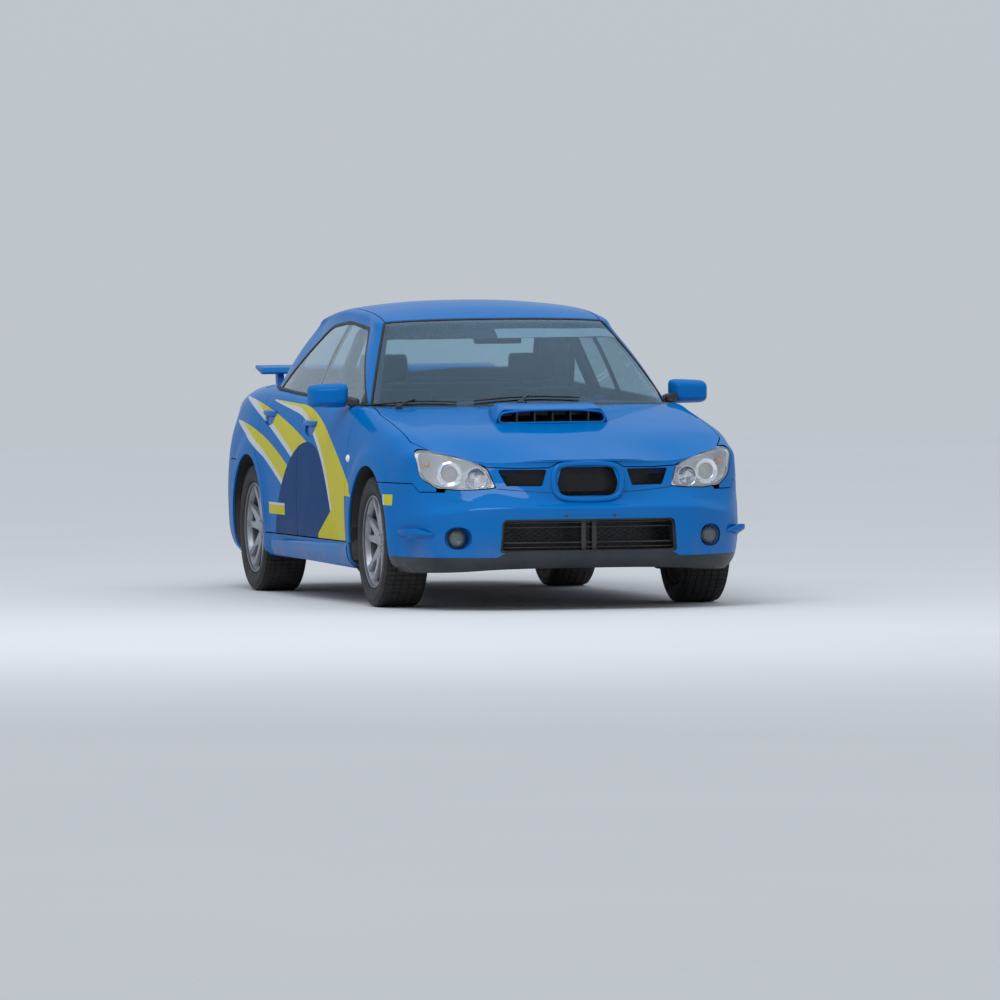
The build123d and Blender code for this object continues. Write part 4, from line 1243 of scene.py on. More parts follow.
def shell_of(surface, name, wall, sink=0.0):
    """A closed shell under a drawn surface, first sunk below it, in millimetres."""
    shell = copy_of(surface, name)
    if sink:
        displace(shell, -sink)
    modify(shell, "SOLIDIFY", thickness=wall * MM, offset=-1.0, use_even_offset=True)
    return shell


def make_shells():
    """The closed shells that panels and glass are cut from."""
    surface, cabin = draw_lower_body(), draw_cabin()
    shells = {name: shell_of(cabin, "shell_" + name, *sizes) for name, sizes in CABIN_SHELLS.items()}
    shells["lower"] = shell_of(surface, "shell_lower", SHELL_WALL)
    shells["lens"] = shell_of(surface, "shell_lens", LENS_WALL)
    for whole in ("lower", "lens"):
        left = copy_of(shells[whole], f"shell_{whole}_left")
        shells[whole + "_left"] = carve(left, cutter("left_half"), "INTERSECT")
    solid = displace(copy_of(surface, "shell_solid"), -SOLID_DEPTH)
    edit(solid, "DESELECT")
    bpy.ops.mesh.select_non_manifold()
    bpy.ops.mesh.edge_face_add()
    done()
    shells["solid"] = solid
    WORK.update(surface=surface, cabin_surface=cabin, shells=shells)


# Glasshouse: roof, rails, glass, seals and films

WAIST_LINE = (
    (771, -846, 951), (773, -620, 957), (774, -400, 963), (774, -120, 971), (774, 150, 979),
    (773, 400, 985), (771, 600, 991), (766, 800, 999), (761, 920, 1004), (756, 1004, 1010),
)


def cut_piece(shell, name, keep, remove, body, slot, *nodes, finish=None):
    """A fitted piece of a shell, with its twin where its name ends in _left."""
    piece = smooth(cut_out(shell, name, keep, remove))
    fitter = fit_pair if name.endswith("_left") else fit
    fitter(piece, body, slot, finish or slot, *nodes)
    return piece


# Pieces of roof and glass: shell, name, keep, remove, slot, finish, replaced nodes
GLASSHOUSE = (
    ("cabin", "roof_skin", ("roof",), (), "blue_paint", None, ("roof_panel",)),
    (
        "cabin", "rail_skin", (), ("windscreen", "roof_grown", "rear_window", "windows", "windows_right"),
        "blue_paint", None, ("roof_rails",),
    ),
    ("glass", "roof_moulding", ("roof_grown",), ("roof",), "black_trim", None, ()),
    ("glass", "windscreen_glass", ("windscreen",), (), "glass", None, ("windscreen",)),
    ("cabin", "windscreen_seal", ("windscreen",), ("windscreen_seal",), "black_trim", "rubber_seal", ()),
    ("cabin", "rear_seal", ("rear_window",), ("rear_seal",), "black_trim", "rubber_seal", ()),
    ("film", "windscreen_border", ("windscreen",), ("windscreen_clear",), "black_trim", None, ()),
    ("film", "sun_strip", ("sun_strip",), (), "black_trim", "dark_film", ()),
    ("banner", "sun_banner", ("sun_banner",), (), "black_trim", "white_film", ()),
    ("glass", "rear_window_glass", ("rear_window",), (), "glass", None, ("rear_window",)),
    ("film", "rear_window_border", ("rear_window",), ("rear_clear",), "black_trim", None, ()),
    ("cabin", "window_seal_left", ("windows",), ("window_clear",), "black_trim", "rubber_seal", ()),
    ("film", "door_post_cover_left", ("window_clear", "post"), (), "black_trim", None, ()),
)


def build_glass():
    """Roof, rails, fixed glass and seals, then the doors' panes, corner covers and waist seals."""
    for shell, name, keep, remove, slot, finish, nodes in GLASSHOUSE:
        cut_piece(shell, name, keep, remove, "car_body", slot, *nodes, finish=finish)
    for door, span in (("front_door", "front_pane"), ("rear_door", "rear_pane")):
        keep = ("window_clear", span)
        cut_piece("glass", door + "_pane_left", keep, (), door + "_left", "glass", door + "_glass_left")
    cut_piece("cabin", "mirror_sail_left", ("window_clear", "sail"), (), "front_door_left", "black_trim")
    for door, low, high in (("front_door", -846, 146), ("rear_door", 154, 1006)):
        line = [waist_at(low)] + [point for point in WAIST_LINE if low < point[1] < high] + [waist_at(high)]
        strip = tube(door + "_waist_seal_left", line, 8.5, smoothed=False)
        fit_pair(smooth(strip, 50), door + "_left", "black_trim", "rubber_seal")


def waist_at(along):
    """The point of the waist line at one place along the car."""
    for first, second in zip(WAIST_LINE, WAIST_LINE[1:]):
        if first[1] <= along <= second[1]:
            share = (along - first[1]) / (second[1] - first[1])
            return tuple(a + (b - a) * share for a, b in zip(first, second))
    return WAIST_LINE[0] if along < WAIST_LINE[0][1] else WAIST_LINE[-1]


def build_door_insides():
    """Each door's trimmed inner side: a card under the skin, with armrest, pull and speaker cover."""
    cover = ((0, 0), (78, 0), (86, 6), (80, 12), (0, 14))
    for door, middle, speaker_place, arch in (
        ("front_door", -330, (747, -590, 520), ()), ("rear_door", 560, (747, 350, 580), ("door_arch_trim",)),
    ):
        side = door + "_left"
        cut_piece("solid", door + "_card_left", (door + "_card",), arch, side, "dash_plastic")
        rest = block("rest", (690, 746), (middle - 230, middle + 230), (700, 745), 14, 4)
        speaker = lathe("speaker", cover, speaker_place, (-1, 0, 0), 36)
        pull = block("pull", (715, 747), (middle - 150, middle - 40), (800, 838), 10, 3)
        parts = join([rest, speaker, pull], door + "_armrest_left")
        fit_pair(smooth(parts), side, "dash_plastic", "dash_plastic")


WELL_DEPTH = 8.5
# A handle's line: where the skin is felt for, where the point goes, how far off it stands, how much higher
GRIP_LINE = ((-116, -116, -2, 0), (-90, -92, 14, 0), (0, 0, 21, 2), (90, 92, 14, 1), (116, 116, -2, 1))
GRIP_DEEPER = 0.35


def build_mirrors():
    """Body-coloured shells on black feet, with their glass set into the rear."""
    deselect()
    bpy.ops.mesh.primitive_cube_add(size=1.0)
    shell = named("mirror_shell_left")
    edit(shell)
    bpy.ops.mesh.subdivide(number_cuts=2)
    done()
    for vertex in shell.data.vertices:
        x, y, z = vertex.co
        nose, outer = 0.5 - y, x + 0.5
        vertex.co = (
            0.893 + x * 0.196 * (1 - 0.2 * nose ** 2) + 0.006 * nose,
            -0.678 + y * 0.112 + 0.03 * outer ** 2,
            0.999 + z * 0.124 * (1 - 0.34 * nose ** 2) * (1 - 0.10 * outer) - 0.004 * outer,
        )
    modify(shell, "SUBSURF", levels=3, render_levels=3)
    recess = block("recess", (812, 975), (-650, -590), (952, 1046), 14, 4)
    carve(shell, recess, solver="EXACT")
    discard(recess)
    fit_pair(smooth(shell, 40), "front_door_left", "blue_paint", "blue_paint", "mirror_left")
    glass = block("mirror_glass_left", (813, 974), (-652, -647), (953, 1045), 12, 4)
    fit_pair(smooth(glass), "front_door_left", "clear_lens", "chrome")
    foot = block("mirror_foot_left", (760, 826), (-752, -660), (940, 986), 14, 3)
    for vertex in foot.data.vertices:
        if vertex.co.x > 0.8:
            vertex.co += Vector((0, 0.016, 0.010))
    modify(foot, "SUBSURF", levels=1, render_levels=1)
    fit_pair(smooth(foot, 50), "front_door_left", "black_trim", "black_trim")


def build_handles():
    """Body-coloured pull handles over finger wells sunk in the skins."""
    for door, middle, height in (("front_door", -50, 851), ("rear_door", 834, 883)):
        well = cut_out("lens_left", door + "_well_left", (door + "_well",))
        well.data.transform(Matrix.Translation((-WELL_DEPTH * MM, 0, 0)))
        fit_pair(smooth(well), door + "_left", "blue_paint", "plain_blue")
        line = [
            (skin_reach(middle + place, height) + stand, middle + run, height + rise)
            for place, run, stand, rise in GRIP_LINE
        ]
        grip = tube(door + "_handle_left", line, 9.5, 16)
        for vertex in grip.data.vertices:
            vertex.co.z += (vertex.co.z - height * MM) * GRIP_DEEPER
        fit_pair(smooth(grip, 50), door + "_left", "blue_paint", "plain_blue")


def reach(start, way, missing):
    """Where a ray from a point in millimetres meets the drawn body, or a stand-in where it misses."""
    found, place, _, _ = WORK["surface"].ray_cast(Vector(start) * MM, Vector(way))
    return place / MM if found else Vector(missing)


def skin_reach(along, height):
    """How far out the drawn left side lies at one place."""
    return reach((2000, along, height), (-1, 0, 0), (860, 0, 0)).x


def skin_front(across, height):
    """How far forward the drawn nose lies at one place."""
    return reach((across, -4000, height), (0, 1, 0), (0, -2200, 0)).y


def skin_top(across, along):
    """How high the drawn body lies at one place."""
    return reach((across, along, 2000), (0, 0, -1), (0, 0, 900)).z


def skin_back(across, height):
    """How far back the drawn tail lies at one place."""
    return reach((across, 4000, height), (0, -1, 0), (0, 2200, 0)).y


# Front end: lamps, grilles, intake, fins and scoop


def conform(piece, depth):
    """Lays a piece modelled flat at y 0 onto the drawn nose, so many millimetres behind it."""
    for vertex in piece.data.vertices:
        vertex.co.y += (skin_front(vertex.co.x / MM, vertex.co.z / MM) + depth) * MM
    piece.data.update()
    return piece


def inside(outline, u, v):
    """Whether a point lies inside an outline."""
    within = False
    for first, second in zip(outline, outline[1:] + outline[:1]):
        if (first[1] > v) != (second[1] > v):
            if u < first[0] + (second[0] - first[0]) * (v - first[1]) / (second[1] - first[1]):
                within = not within
    return within


def diamond_mesh(name, outline, cell, wire, depth):
    """Crossed wires that fill one opening of the nose, behind its surface."""
    edge = [tuple(point) for point in rounded(outline)]
    reach = max(abs(u) for u, _ in edge) + 20
    middle = sum(v for _, v in edge) / len(edge)
    count = int(2 * reach / cell)
    deselect()
    bpy.ops.mesh.primitive_grid_add(x_subdivisions=count, y_subdivisions=count, size=2.0)
    wires = named(name)
    for vertex in wires.data.vertices:
        u, v = vertex.co.x * reach, vertex.co.y * reach
        vertex.co = Vector(((u - v) * 0.9, 0, middle + (u + v) * 0.55)) * MM
    edit(wires, "DESELECT")
    bpy.ops.mesh.select_mode(type="FACE")
    mesh = bmesh.from_edit_mesh(wires.data)
    for face in mesh.faces:
        place = face.calc_center_median() / MM
        face.select = not inside(edge, place.x, place.z)
    bmesh.update_edit_mesh(wires.data)
    bpy.ops.mesh.delete(type="FACE")
    done()
    modify(wires, "WIREFRAME", thickness=wire * MM, use_replace=True, use_even_offset=False)
    return smooth(conform(wires, depth))


GRILLE_RING = (
    (-136, 690), (-163, 655), (-167, 605), (-156, 550), (-118, 527), (0, 521), (118, 527), (156, 550),
    (167, 605), (163, 655), (136, 690), (0, 696),
)
GRILLE_MIDDLE = 608
NOSE_SEAM = ((424, 577), (385, 573), (321, 567), (260, 562), (201, 559), (172, 557))
# Slats across the lower intake: bottom, top, half width
SLATS = ((414, 421, 410), (392, 398, 410), (318, 325, 415), (296, 302, 418))


def build_grilles():
    """Mesh grilles with dark backs, the centre grille's surround and rim, the nose seam and the slats."""
    fit(diamond_mesh("grille_mesh_centre", grow(CENTRE_GRILLE, 10), 11.0, 3.0, 26),
        "car_body", "black_trim", "mesh_black", "upper_grille")
    fit_pair(diamond_mesh("grille_mesh_left", grow(SIDE_GRILLE, 10), 11.0, 3.0, 26),
             "car_body", "black_trim", "mesh_black", "upper_grille")
    fit(diamond_mesh("intake_mesh", grow(LOWER_INTAKE, -6), 21.0, 3.4, 85),
        "car_body", "black_trim", "mesh_black", "lower_grille")
    for name, low, high, depth in (("grille_backing", 560, 700, 75), ("intake_backing", 270, 440, 190)):
        line = [(x, skin_front(x, (low + high) / 2) + depth) for x in range(-450, 451, 90)]
        backing = prism(name, "plan", line + [(x, y + 6) for x, y in reversed(line)], low, high)
        fit(backing, "car_body", "black_trim", "mesh_black")
    line = [(x, skin_front(x, z) - 1, z) for x, z in GRILLE_RING]
    surround = tube("grille_surround", line, 14.0, 16, closed=True)
    fit(smooth(surround, 60), "car_body", "blue_paint", "blue_paint")
    line = []
    for x, z in GRILLE_RING:
        rise = z - GRILLE_MIDDLE
        behind = skin_front(x * 0.9, GRILLE_MIDDLE + rise * 0.9) + 9
        line.append((x * 0.9, behind, GRILLE_MIDDLE + rise * 0.88))
    rim = tube("grille_rim", line, 4.0, 8, closed=True)
    fit(smooth(rim, 60), "car_body", "black_trim", "gloss_black")
    seam = tube("nose_seam_left", [(x, skin_front(x, z), z) for x, z in NOSE_SEAM], 1.9, 6)
    fit_pair(smooth(seam, 60), "car_body", "black_trim", "rubber_seal")
    band = ("lower_intake", "nose_band")
    cut_piece("solid", "intake_trim", band, ("intake_inner",), "car_body", "black_trim")
    bars = []
    for low, high, half in SLATS:
        bar = block("bar", (-half, half), (-10, 26), (low, high), 2.5, 2)
        edit(bar)
        bpy.ops.mesh.subdivide(number_cuts=8)
        done()
        bars.append(conform(bar, 42))
    for x in (-26, 26):
        bars.append(conform(block("bar", (x - 12, x + 12), (-12, 40), (284, 428), 4, 2), 36))
    fit(smooth(join(bars, "intake_slats")), "car_body", "black_trim", "black_trim")


PROJECTOR = (627, -1996, 646)
BOWL = (514, -2078, 626)
TURN_BULB = (716, -1905, 690)
FOG_LAMP = (616, -2094, 345)
AHEAD = (0, -1, 0)
PROJECTOR_AIM = (0.22, -1.0, 0.0)
BOWL_AIM = (0.1, -1, 0)
# Round lamp parts: name, profile, centre, axis, steps, smoothing angle, finish
HEADLAMP_ROUNDS = (
    (
        "projector_left",
        ((37, 2), (40, 6), (54, 12), (60, 9), (61, 2), (56, -22), (48, -60), (30, -62), (30, -40), (35, -8)),
        PROJECTOR, PROJECTOR_AIM, 48, 32, "chrome",
    ),
    (
        "projector_lens_left", ((0, 18), (12, 16.5), (22, 12), (30, 5), (34, -4), (34, -10), (0, -10)),
        PROJECTOR, PROJECTOR_AIM, 40, 60, "clear_lens",
    ),
    (
        "projector_back_left", ((0, -14), (33, -14), (33, -18), (0, -20)),
        PROJECTOR, PROJECTOR_AIM, 32, 32, "caliper_grey",
    ),
    (
        "turn_bulb_left", ((0, 20), (8, 18), (12, 10), (13, 0), (13, -22), (0, -22)),
        TURN_BULB, (0.55, -1, 0), 24, 60, "amber_lens",
    ),
)
BOWL_PROFILE = (
    (45, 0), (48, 2), (49, 0), (46, -14), (38, -30), (24, -42), (8, -48), (8, -44), (22, -38), (35, -27),
    (43, -12),
)
BULB_PROFILE = ((0, -14), (7, -17), (9, -24), (9, -46), (0, -46))


def build_headlamps():
    """Clear covers over silvered buckets, each with a projector, a bowl reflector and an amber bulb."""
    cut_piece("lens_left", "headlamp_cover_left", ("front_lamp",), (), "car_body", "clear_lens", "headlamps")
    cut_piece(
        "solid", "headlamp_bucket_left", ("front_lamp", "lamp_depth"), ("lamp_hollow",),
        "car_body", "clear_lens", finish="lamp_silver",
    )
    for name, profile, centre, axis, steps, angle, finish in HEADLAMP_ROUNDS:
        fit_pair(smooth(lathe(name, profile, centre, axis, steps), angle), "car_body", "clear_lens", finish)
    bowl = lathe("bowl_left", BOWL_PROFILE, BOWL, BOWL_AIM, 40)
    bulb = lathe("bulb", BULB_PROFILE, BOWL, BOWL_AIM, 20)
    fit_pair(smooth(join([bowl, bulb], "bowl_left"), 40), "car_body", "clear_lens", "chrome")
    line = [(x, z) for x, z, *_ in CUTTERS["front_lamp"][1]]
    middle_x = sum(x for x, _ in line) / len(line)
    middle_z = sum(z for _, z in line) / len(line)
    path = [(x + (middle_x - x) * 0.03, z + (middle_z - z) * 0.05) for x, z in line]
    edge = tube("headlamp_edge_left", [(x, skin_front(x, z) + 13, z) for x, z in path], 4.0, 8, closed=True)
    fit_pair(smooth(edge, 60), "car_body", "clear_lens", "gloss_black")


def build_fog_lamps():
    """Round lamps deep in body-coloured cups."""
    cut_piece("solid", "fog_cup_left", ("fog_cup",), ("fog_cup_hollow",), "car_body", "blue_paint")
    bezel = lathe(
        "fog_bezel_left", ((37, 1), (40, 1), (42, -5), (42, -22), (36, -22), (36, -6)), FOG_LAMP, AHEAD, 40,
    )
    fit_pair(smooth(bezel), "car_body", "black_trim", "black_trim")
    profile = ((0, 8), (14, 7), (27, 4), (37, -2), (37, -6), (0, -6))
    lens = lathe("fog_lens_left", profile, FOG_LAMP, AHEAD, 40)
    fit_pair(smooth(lens, 60), "car_body", "clear_lens", "fog_glass", "fog_lamps")
    bowl = lathe(
        "fog_bowl_left", ((36, -7), (30, -16), (18, -22), (0, -24), (0, -27), (20, -25), (33, -18), (37, -8)),
        FOG_LAMP, AHEAD, 40,
    )
    fit_pair(smooth(bowl, 60), "car_body", "clear_lens", "lamp_grey")


def raised(shell, name, outline, low, high, lift, body, slot, finish):
    """A pad of the body's own surface inside an outline seen from the front, lifted off it."""
    pad = smooth(displace(stamped(shell, name, "front", outline, low, high), lift))
    (fit_pair if name.endswith("_left") else fit)(pad, body, slot, finish)


def build_bumper_details():
    """Washer covers, plate rest, corner fins, plate screws and side repeaters."""
    raised("lower_left", "washer_cover_left", ((536, 522, 7), (628, 520, 7), (626, 538, 7), (548, 540, 7)),
           -2400, -1900, 1.8, "car_body", "blue_paint", "blue_paint")
    raised("lower", "plate_rest", ((-150, 450, 4), (150, 450, 4), (150, 470, 4), (-150, 470, 4)),
           -2400, -2000, 1.5, "car_body", "blue_paint", "blue_paint")
    outline = ((-2052, 362, 3), (-1975, 392, 60), (-1785, 382, 4), (-1880, 336, 80))
    fin = stamped("lower_left", "bumper_fin_left", "side", outline, 650, WIDE)
    for vertex in fin.data.vertices:
        push = 5 + 40 * math.sin(math.pi * share_of(vertex.co.y / MM, -2050, -1785))
        push *= max(share_of(vertex.co.z / MM, 335, 365), 0.25)
        vertex.co += Vector((0.82, -0.57, 0)) * push * MM
    fit_pair(smooth(fin, 24), "car_body", "blue_paint", "blue_paint")
    for index, x in enumerate((-117, 117), 1):
        place = (x, skin_front(x, 450), 450)
        screw = lathe(f"plate_screw_{index}", ((0, 3), (5, 2.5), (8, 0), (8, -4), (0, -4)), place, AHEAD, 20)
        fit(smooth(screw), "car_body", "black_trim", "black_trim")
    profile = ((0, 9), (12, 8), (20, 4), (24, 0), (24, -6), (0, -6))
    lamp = lathe("side_repeater_left", profile, CENTRE, OUTWARD, 32)
    place = Vector((skin_reach(-905, 700), -905, 700)) * MM
    lamp.data.transform(Matrix.Translation(place) @ Matrix.Diagonal((1, 1.25, 0.8, 1)))
    fit_pair(smooth(lamp, 60), "car_body", "clear_lens", "white_film")


def build_skirts():
    """Side skirts that stand further out towards the rear wheel, and a mud flap behind each front wheel."""
    flap = prism(
        "mud_flap_left", "front",
        (
            (640, 500, 6), (640, 150, 24), (800, 140, 24), (840, 184, 20), (851, 208, 20), (861, 233, 20),
            (866, 262, 20), (865, 330, 20), (829, 500, 6),
        ),
        -966, -960,
    )
    for vertex in flap.data.vertices:
        vertex.co.y += 0.03 * share_of(vertex.co.z, 0.3, 0.14) ** 2
    fit_pair(smooth(flap), "car_body", "black_trim", "black_trim")
    outline = ((-890, 172, 10), (560, 200, 30), (560, 272, 14), (-890, 290, 10))
    skirt = stamped("lower_left", "side_skirt_left", "side", outline, 300, WIDE)
    for vertex in skirt.data.vertices:
        if vertex.co.x < 0.76:
            continue
        shelf = share_of(vertex.co.z / MM, 290, 268)
        vertex.co.x += (6 + 34 * share_of(vertex.co.y / MM, -890, 560) ** 1.4) * shelf * MM
    fit_pair(smooth(skirt, 26), "car_body", "blue_paint", "plain_blue")


SCOOP_ENDS = (-1530.0, -1128.0)
SCOOP_HALF = 288.0


def build_scoop():
    """The bonnet's air scoop: a smooth hood over a dark mouth with upright vanes."""
    deselect()
    bpy.ops.mesh.primitive_grid_add(x_subdivisions=36, y_subdivisions=22, size=2.0)
    scoop = named("scoop_skin")
    front, rear = SCOOP_ENDS
    for vertex in scoop.data.vertices:
        across = math.copysign(1 - (1 - abs(vertex.co.x)) ** 1.7, vertex.co.x) if vertex.co.x else 0.0
        back = (vertex.co.y + 1) / 2
        half = SCOOP_HALF - 70.0 * back ** 1.6 - 10 * (1 - back) ** 3
        along = front + (rear - front) * back + 34 * across * across * (1 - back)
        x = across * half
        wall = min((1 - abs(across)) / 0.17, 1.0)
        rise = 74.0 * math.sin(math.pi / 2 * wall) ** 0.8 * (1 - back ** 2.2)
        rise *= 0.94 + 0.12 * math.sin(math.pi * back)
        vertex.co = Vector((x, along, skin_top(x, along) + rise - 3)) * MM
    modify(scoop, "SOLIDIFY", thickness=7 * MM, offset=-1.0)
    fit(smooth(outward(scoop), 50), "bonnet", "blue_paint", "blue_paint", "bonnet_scoop")
    lower = [(x, skin_top(x, front) + 4) for x in range(-250, 251, 50)]
    inner = [(262, skin_top(262, front) + 20)] + [
        (x, skin_top(x, front) + 65 - 12 * (abs(x) / 250) ** 3) for x in range(250, -251, -50)
    ] + [(-262, skin_top(-262, front) + 20)]
    path = [(x, front - 1 + 34 * (x / SCOOP_HALF) ** 2, z) for x, z in lower + inner]
    fit(smooth(tube("scoop_rim", path, 5.5, 12, closed=True), 60), "bonnet", "blue_paint", "blue_paint")
    vanes = []
    for x in (-176, -88, 0, 88, 176):
        low = skin_top(x, front)
        vanes.append(block("vane", (x - 4, x + 4), (front + 8, front + 90), (low - 2, low + 66), 2, 2))
    fit(smooth(join(vanes, "scoop_vanes")), "bonnet", "black_trim", "black_trim")
    floor = block("scoop_floor", (-252, 252), (front + 12, front + 190), (868, 878), 3, 2)
    for vertex in floor.data.vertices:
        top = skin_top(vertex.co.x / MM, vertex.co.y / MM)
        vertex.co.z = (top + (3 if vertex.co.z > 0.873 else -4)) * MM
    back = block("back", (-205, 205), (front + 186, front + 194), (880, 962), 2, 2)
    fit(smooth(join([floor, back], "scoop_throat")), "bonnet", "black_trim", "mesh_black")


# Plans of the pressed ribs inside the bonnet and the boot lid: their ring, then the braces across it
BONNET_RIBS = (
    ((0, -1165), (320, -1138), (600, -1072), (672, -1160), (690, -1450), (668, -1730), (560, -1870),
     (300, -1950),
     (-300, -1950), (-560, -1870), (-668, -1730), (-690, -1450), (-672, -1160), (-600, -1072), (-320, -1138)),
    ((672, -1160), (360, -1480), (300, -1950)),
    ((-672, -1160), (-360, -1480), (-300, -1950)),
)
BOOT_RIBS = (
    ((0, 1440), (530, 1450), (560, 1750), (520, 2000), (0, 2020), (-520, 2000), (-560, 1750), (-530, 1450)),
    ((530, 1450), (150, 1740), (-150, 1740), (-530, 1450)),
    ((520, 2000), (150, 1740), (-150, 1740), (-520, 2000)),
)
RIB_DEPTH = 13
RIB_STEP = 50


def build_ribs(name, body, ribs):
    """Pressed ribs that hug the inside of a lid."""
    bars = []
    for index, plan in enumerate(ribs):
        closed = index == 0
        path = []
        for start, end in zip(plan, plan[1:] + (plan[:1] if closed else ())):
            steps = max(int(math.dist(start, end) / RIB_STEP), 1)
            path += [Vector(start).lerp(Vector(end), step / steps) for step in range(steps)]
        if not closed:
            path.append(Vector(plan[-1]))
        line = [(place.x, place.y, skin_top(place.x, place.y) - RIB_DEPTH) for place in path]
        bars.append(tube(name, line, 8, 12, closed=closed))
    fit(smooth(join(bars, name), 60), body, "blue_paint", "plain_blue")


# Wheels


TREAD_DEPTH = 6.5
# Half of a tyre's section, from the bead to the tread: height over the bead, share of half the width
WALL_PROFILE = (
    (0, 0.80), (8, 0.90), (16, 0.96), (19, 0.95), (34, 0.99), (46, 1.0), (60, 0.99), (63, 0.965), (74, 0.94),
)
TREAD_SHARES = (0.86, 0.82, 0.49, 0.17)


def make_tyre(width, radius, bead, blocks):
    """A tyre round the cross axis, with raised tread blocks and ribbed walls."""
    half = width / 2
    base = radius - TREAD_DEPTH
    outer = [(bead + rise, half * share) for rise, share in WALL_PROFILE]
    outer += [(base, half * share) for share in TREAD_SHARES]
    inner = [(away, -across) for away, across in outer]
    tyre = lathe("tyre", inner + outer[::-1], CENTRE, OUTWARD, blocks)
    edit(tyre, "DESELECT")
    bpy.ops.mesh.select_mode(type="FACE")
    mesh = bmesh.from_edit_mesh(tyre.data)
    for face in mesh.faces:
        middle = face.calc_center_median() / MM
        away = math.hypot(middle.y, middle.z)
        tread = abs(middle.x) < half * 0.83 and away > base - 3
        shoulder = bead + 74 < away < base and abs(middle.x) > half * 0.86
        face.select = tread or shoulder
    bmesh.update_edit_mesh(tyre.data)
    bpy.ops.mesh.inset(thickness=2.6 * MM, depth=5.5 * MM, use_individual=True)
    done()
    return smooth(tyre, 25)


SPOKES = 5
RIM_PROFILE = (
    (-8, 1, -2), (-2, 1, 2), (1, 1, 0), (0, 1, -8), (-5, 1, -20), (-14, 1, -40), (-16, -1, 30), (-4, -1, 12),
    (0, -1, 0), (-4, -1, -1), (-10, -1, 12), (-22, -1, 34), (-20, 1, -44), (-11, 1, -24), (-9, 1, -12),
)
LIP_PROFILE = ((-7, -3), (-2, 2.5), (1.5, 0), (-1, -9), (-10, -22), (-16, -34), (-12, -20))
HUB_PROFILE = (
    (0, -26), (22, -27), (26, -30), (27, -36), (34, -38), (58, -36), (64, -42), (66, -78), (50, -84),
    (0, -84),
)
NUT_PROFILE = ((0, 10), (6, 10), (8.5, 7), (8.5, 0), (12, 0), (12, -3), (0, -3))
SPOKE = (
    (-30, 40, 8), (-46, 120, 60), (-60, 206, 6), (-34, 212, 6), (-22, 140, 40), (0, 96, 12), (22, 140, 40),
    (34, 212, 6), (60, 206, 6), (46, 120, 60), (30, 40, 8),
)


def make_rim(radius, half):
    """A five-spoke rim round the cross axis: barrel, rolled lip, split spokes, hub and nuts."""
    section = [(radius + rise, side * half + out) for rise, side, out in RIM_PROFILE]
    barrel = lathe("rim", section, CENTRE, OUTWARD, 80)
    parts = [lathe("lip", [(radius + rise, half + out) for rise, out in LIP_PROFILE], CENTRE, OUTWARD, 80)]
    spoke = prism("spoke", "side", SPOKE, 0, 26, 4)
    for vertex in spoke.data.vertices:
        share = share_of(math.hypot(vertex.co.y, vertex.co.z) / MM, 40, radius - 12)
        front = vertex.co.x > 0.013
        vertex.co.x = (half - 36 + 26 * share ** 1.5 + (0 if front else -34 + 12 * share)) * MM
    edit(spoke)
    bpy.ops.mesh.bevel(offset=3.0 * MM, segments=2, affect="EDGES", clamp_overlap=True)
    done()
    for index in range(SPOKES):
        turned = copy_of(spoke, "spoke")
        turned.data.transform(Matrix.Rotation(2 * math.pi * index / SPOKES, 4, "X"))
        parts.append(turned)
    discard(spoke)
    parts.append(lathe("hub", [(away, half + out) for away, out in HUB_PROFILE], CENTRE, OUTWARD, 48))
    for index in range(SPOKES):
        angle = 2 * math.pi * (index + 0.5) / SPOKES
        place = (half - 38, 44 * math.sin(angle), 44 * math.cos(angle))
        parts.append(lathe("nut", NUT_PROFILE, place, OUTWARD, 6))
    return smooth(join(parts, "rim"), 35), smooth(barrel, 35)


def make_brake():
    """A calliper and the disc it grips, round the cross axis."""
    outline = ((-150, -50, 14), (-104, -40, 10), (-96, 0, 60), (-104, 40, 10), (-150, 50, 14), (-166, 0, 90))
    caliper = prism("caliper", "side", outline, -82, -24)
    edit(caliper)
    bpy.ops.mesh.bevel(offset=4 * MM, segments=2, affect="EDGES")
    done()
    slot = lathe("slot", ((0, -40), (152, -40), (152, -66), (0, -66)), CENTRE, OUTWARD, 64)
    carve(caliper, slot)
    discard(slot)
    section = ((62, -34), (78, -36), (80, -44), (146, -44), (148, -46), (148, -60), (146, -62), (62, -62))
    return smooth(caliper), smooth(lathe("disc", section, CENTRE, OUTWARD, 64))


def build_liners():
    """Dark housings round each wheel, from the inner wall out to the skin."""
    for end, axle, radius, inner in (("front", FRONT_AXLE_Y, 365, 430), ("rear", REAR_AXLE_Y, 364, 486)):
        liner = drum(f"{end}_liner_left", axle, ARCH_Z, radius + 6, inner, WIDE)
        for hollow in (
            drum("hollow", axle, ARCH_Z, radius, inner + 6, WIDE + 50),
            drum("hollow", axle, ARCH_Z, 120, inner - 50, inner + 50),
            block("hollow", (0, 1100), (axle - 500, axle + 500), (-200, 215)),
        ):
            carve(liner, hollow)
            discard(hollow)
        carve(liner, WORK["shells"]["solid"], "INTERSECT")
        drop_crumbs(liner)
        fit_pair(smooth(liner), "car_body", "black_trim", "chassis_black", "wheel_liners")


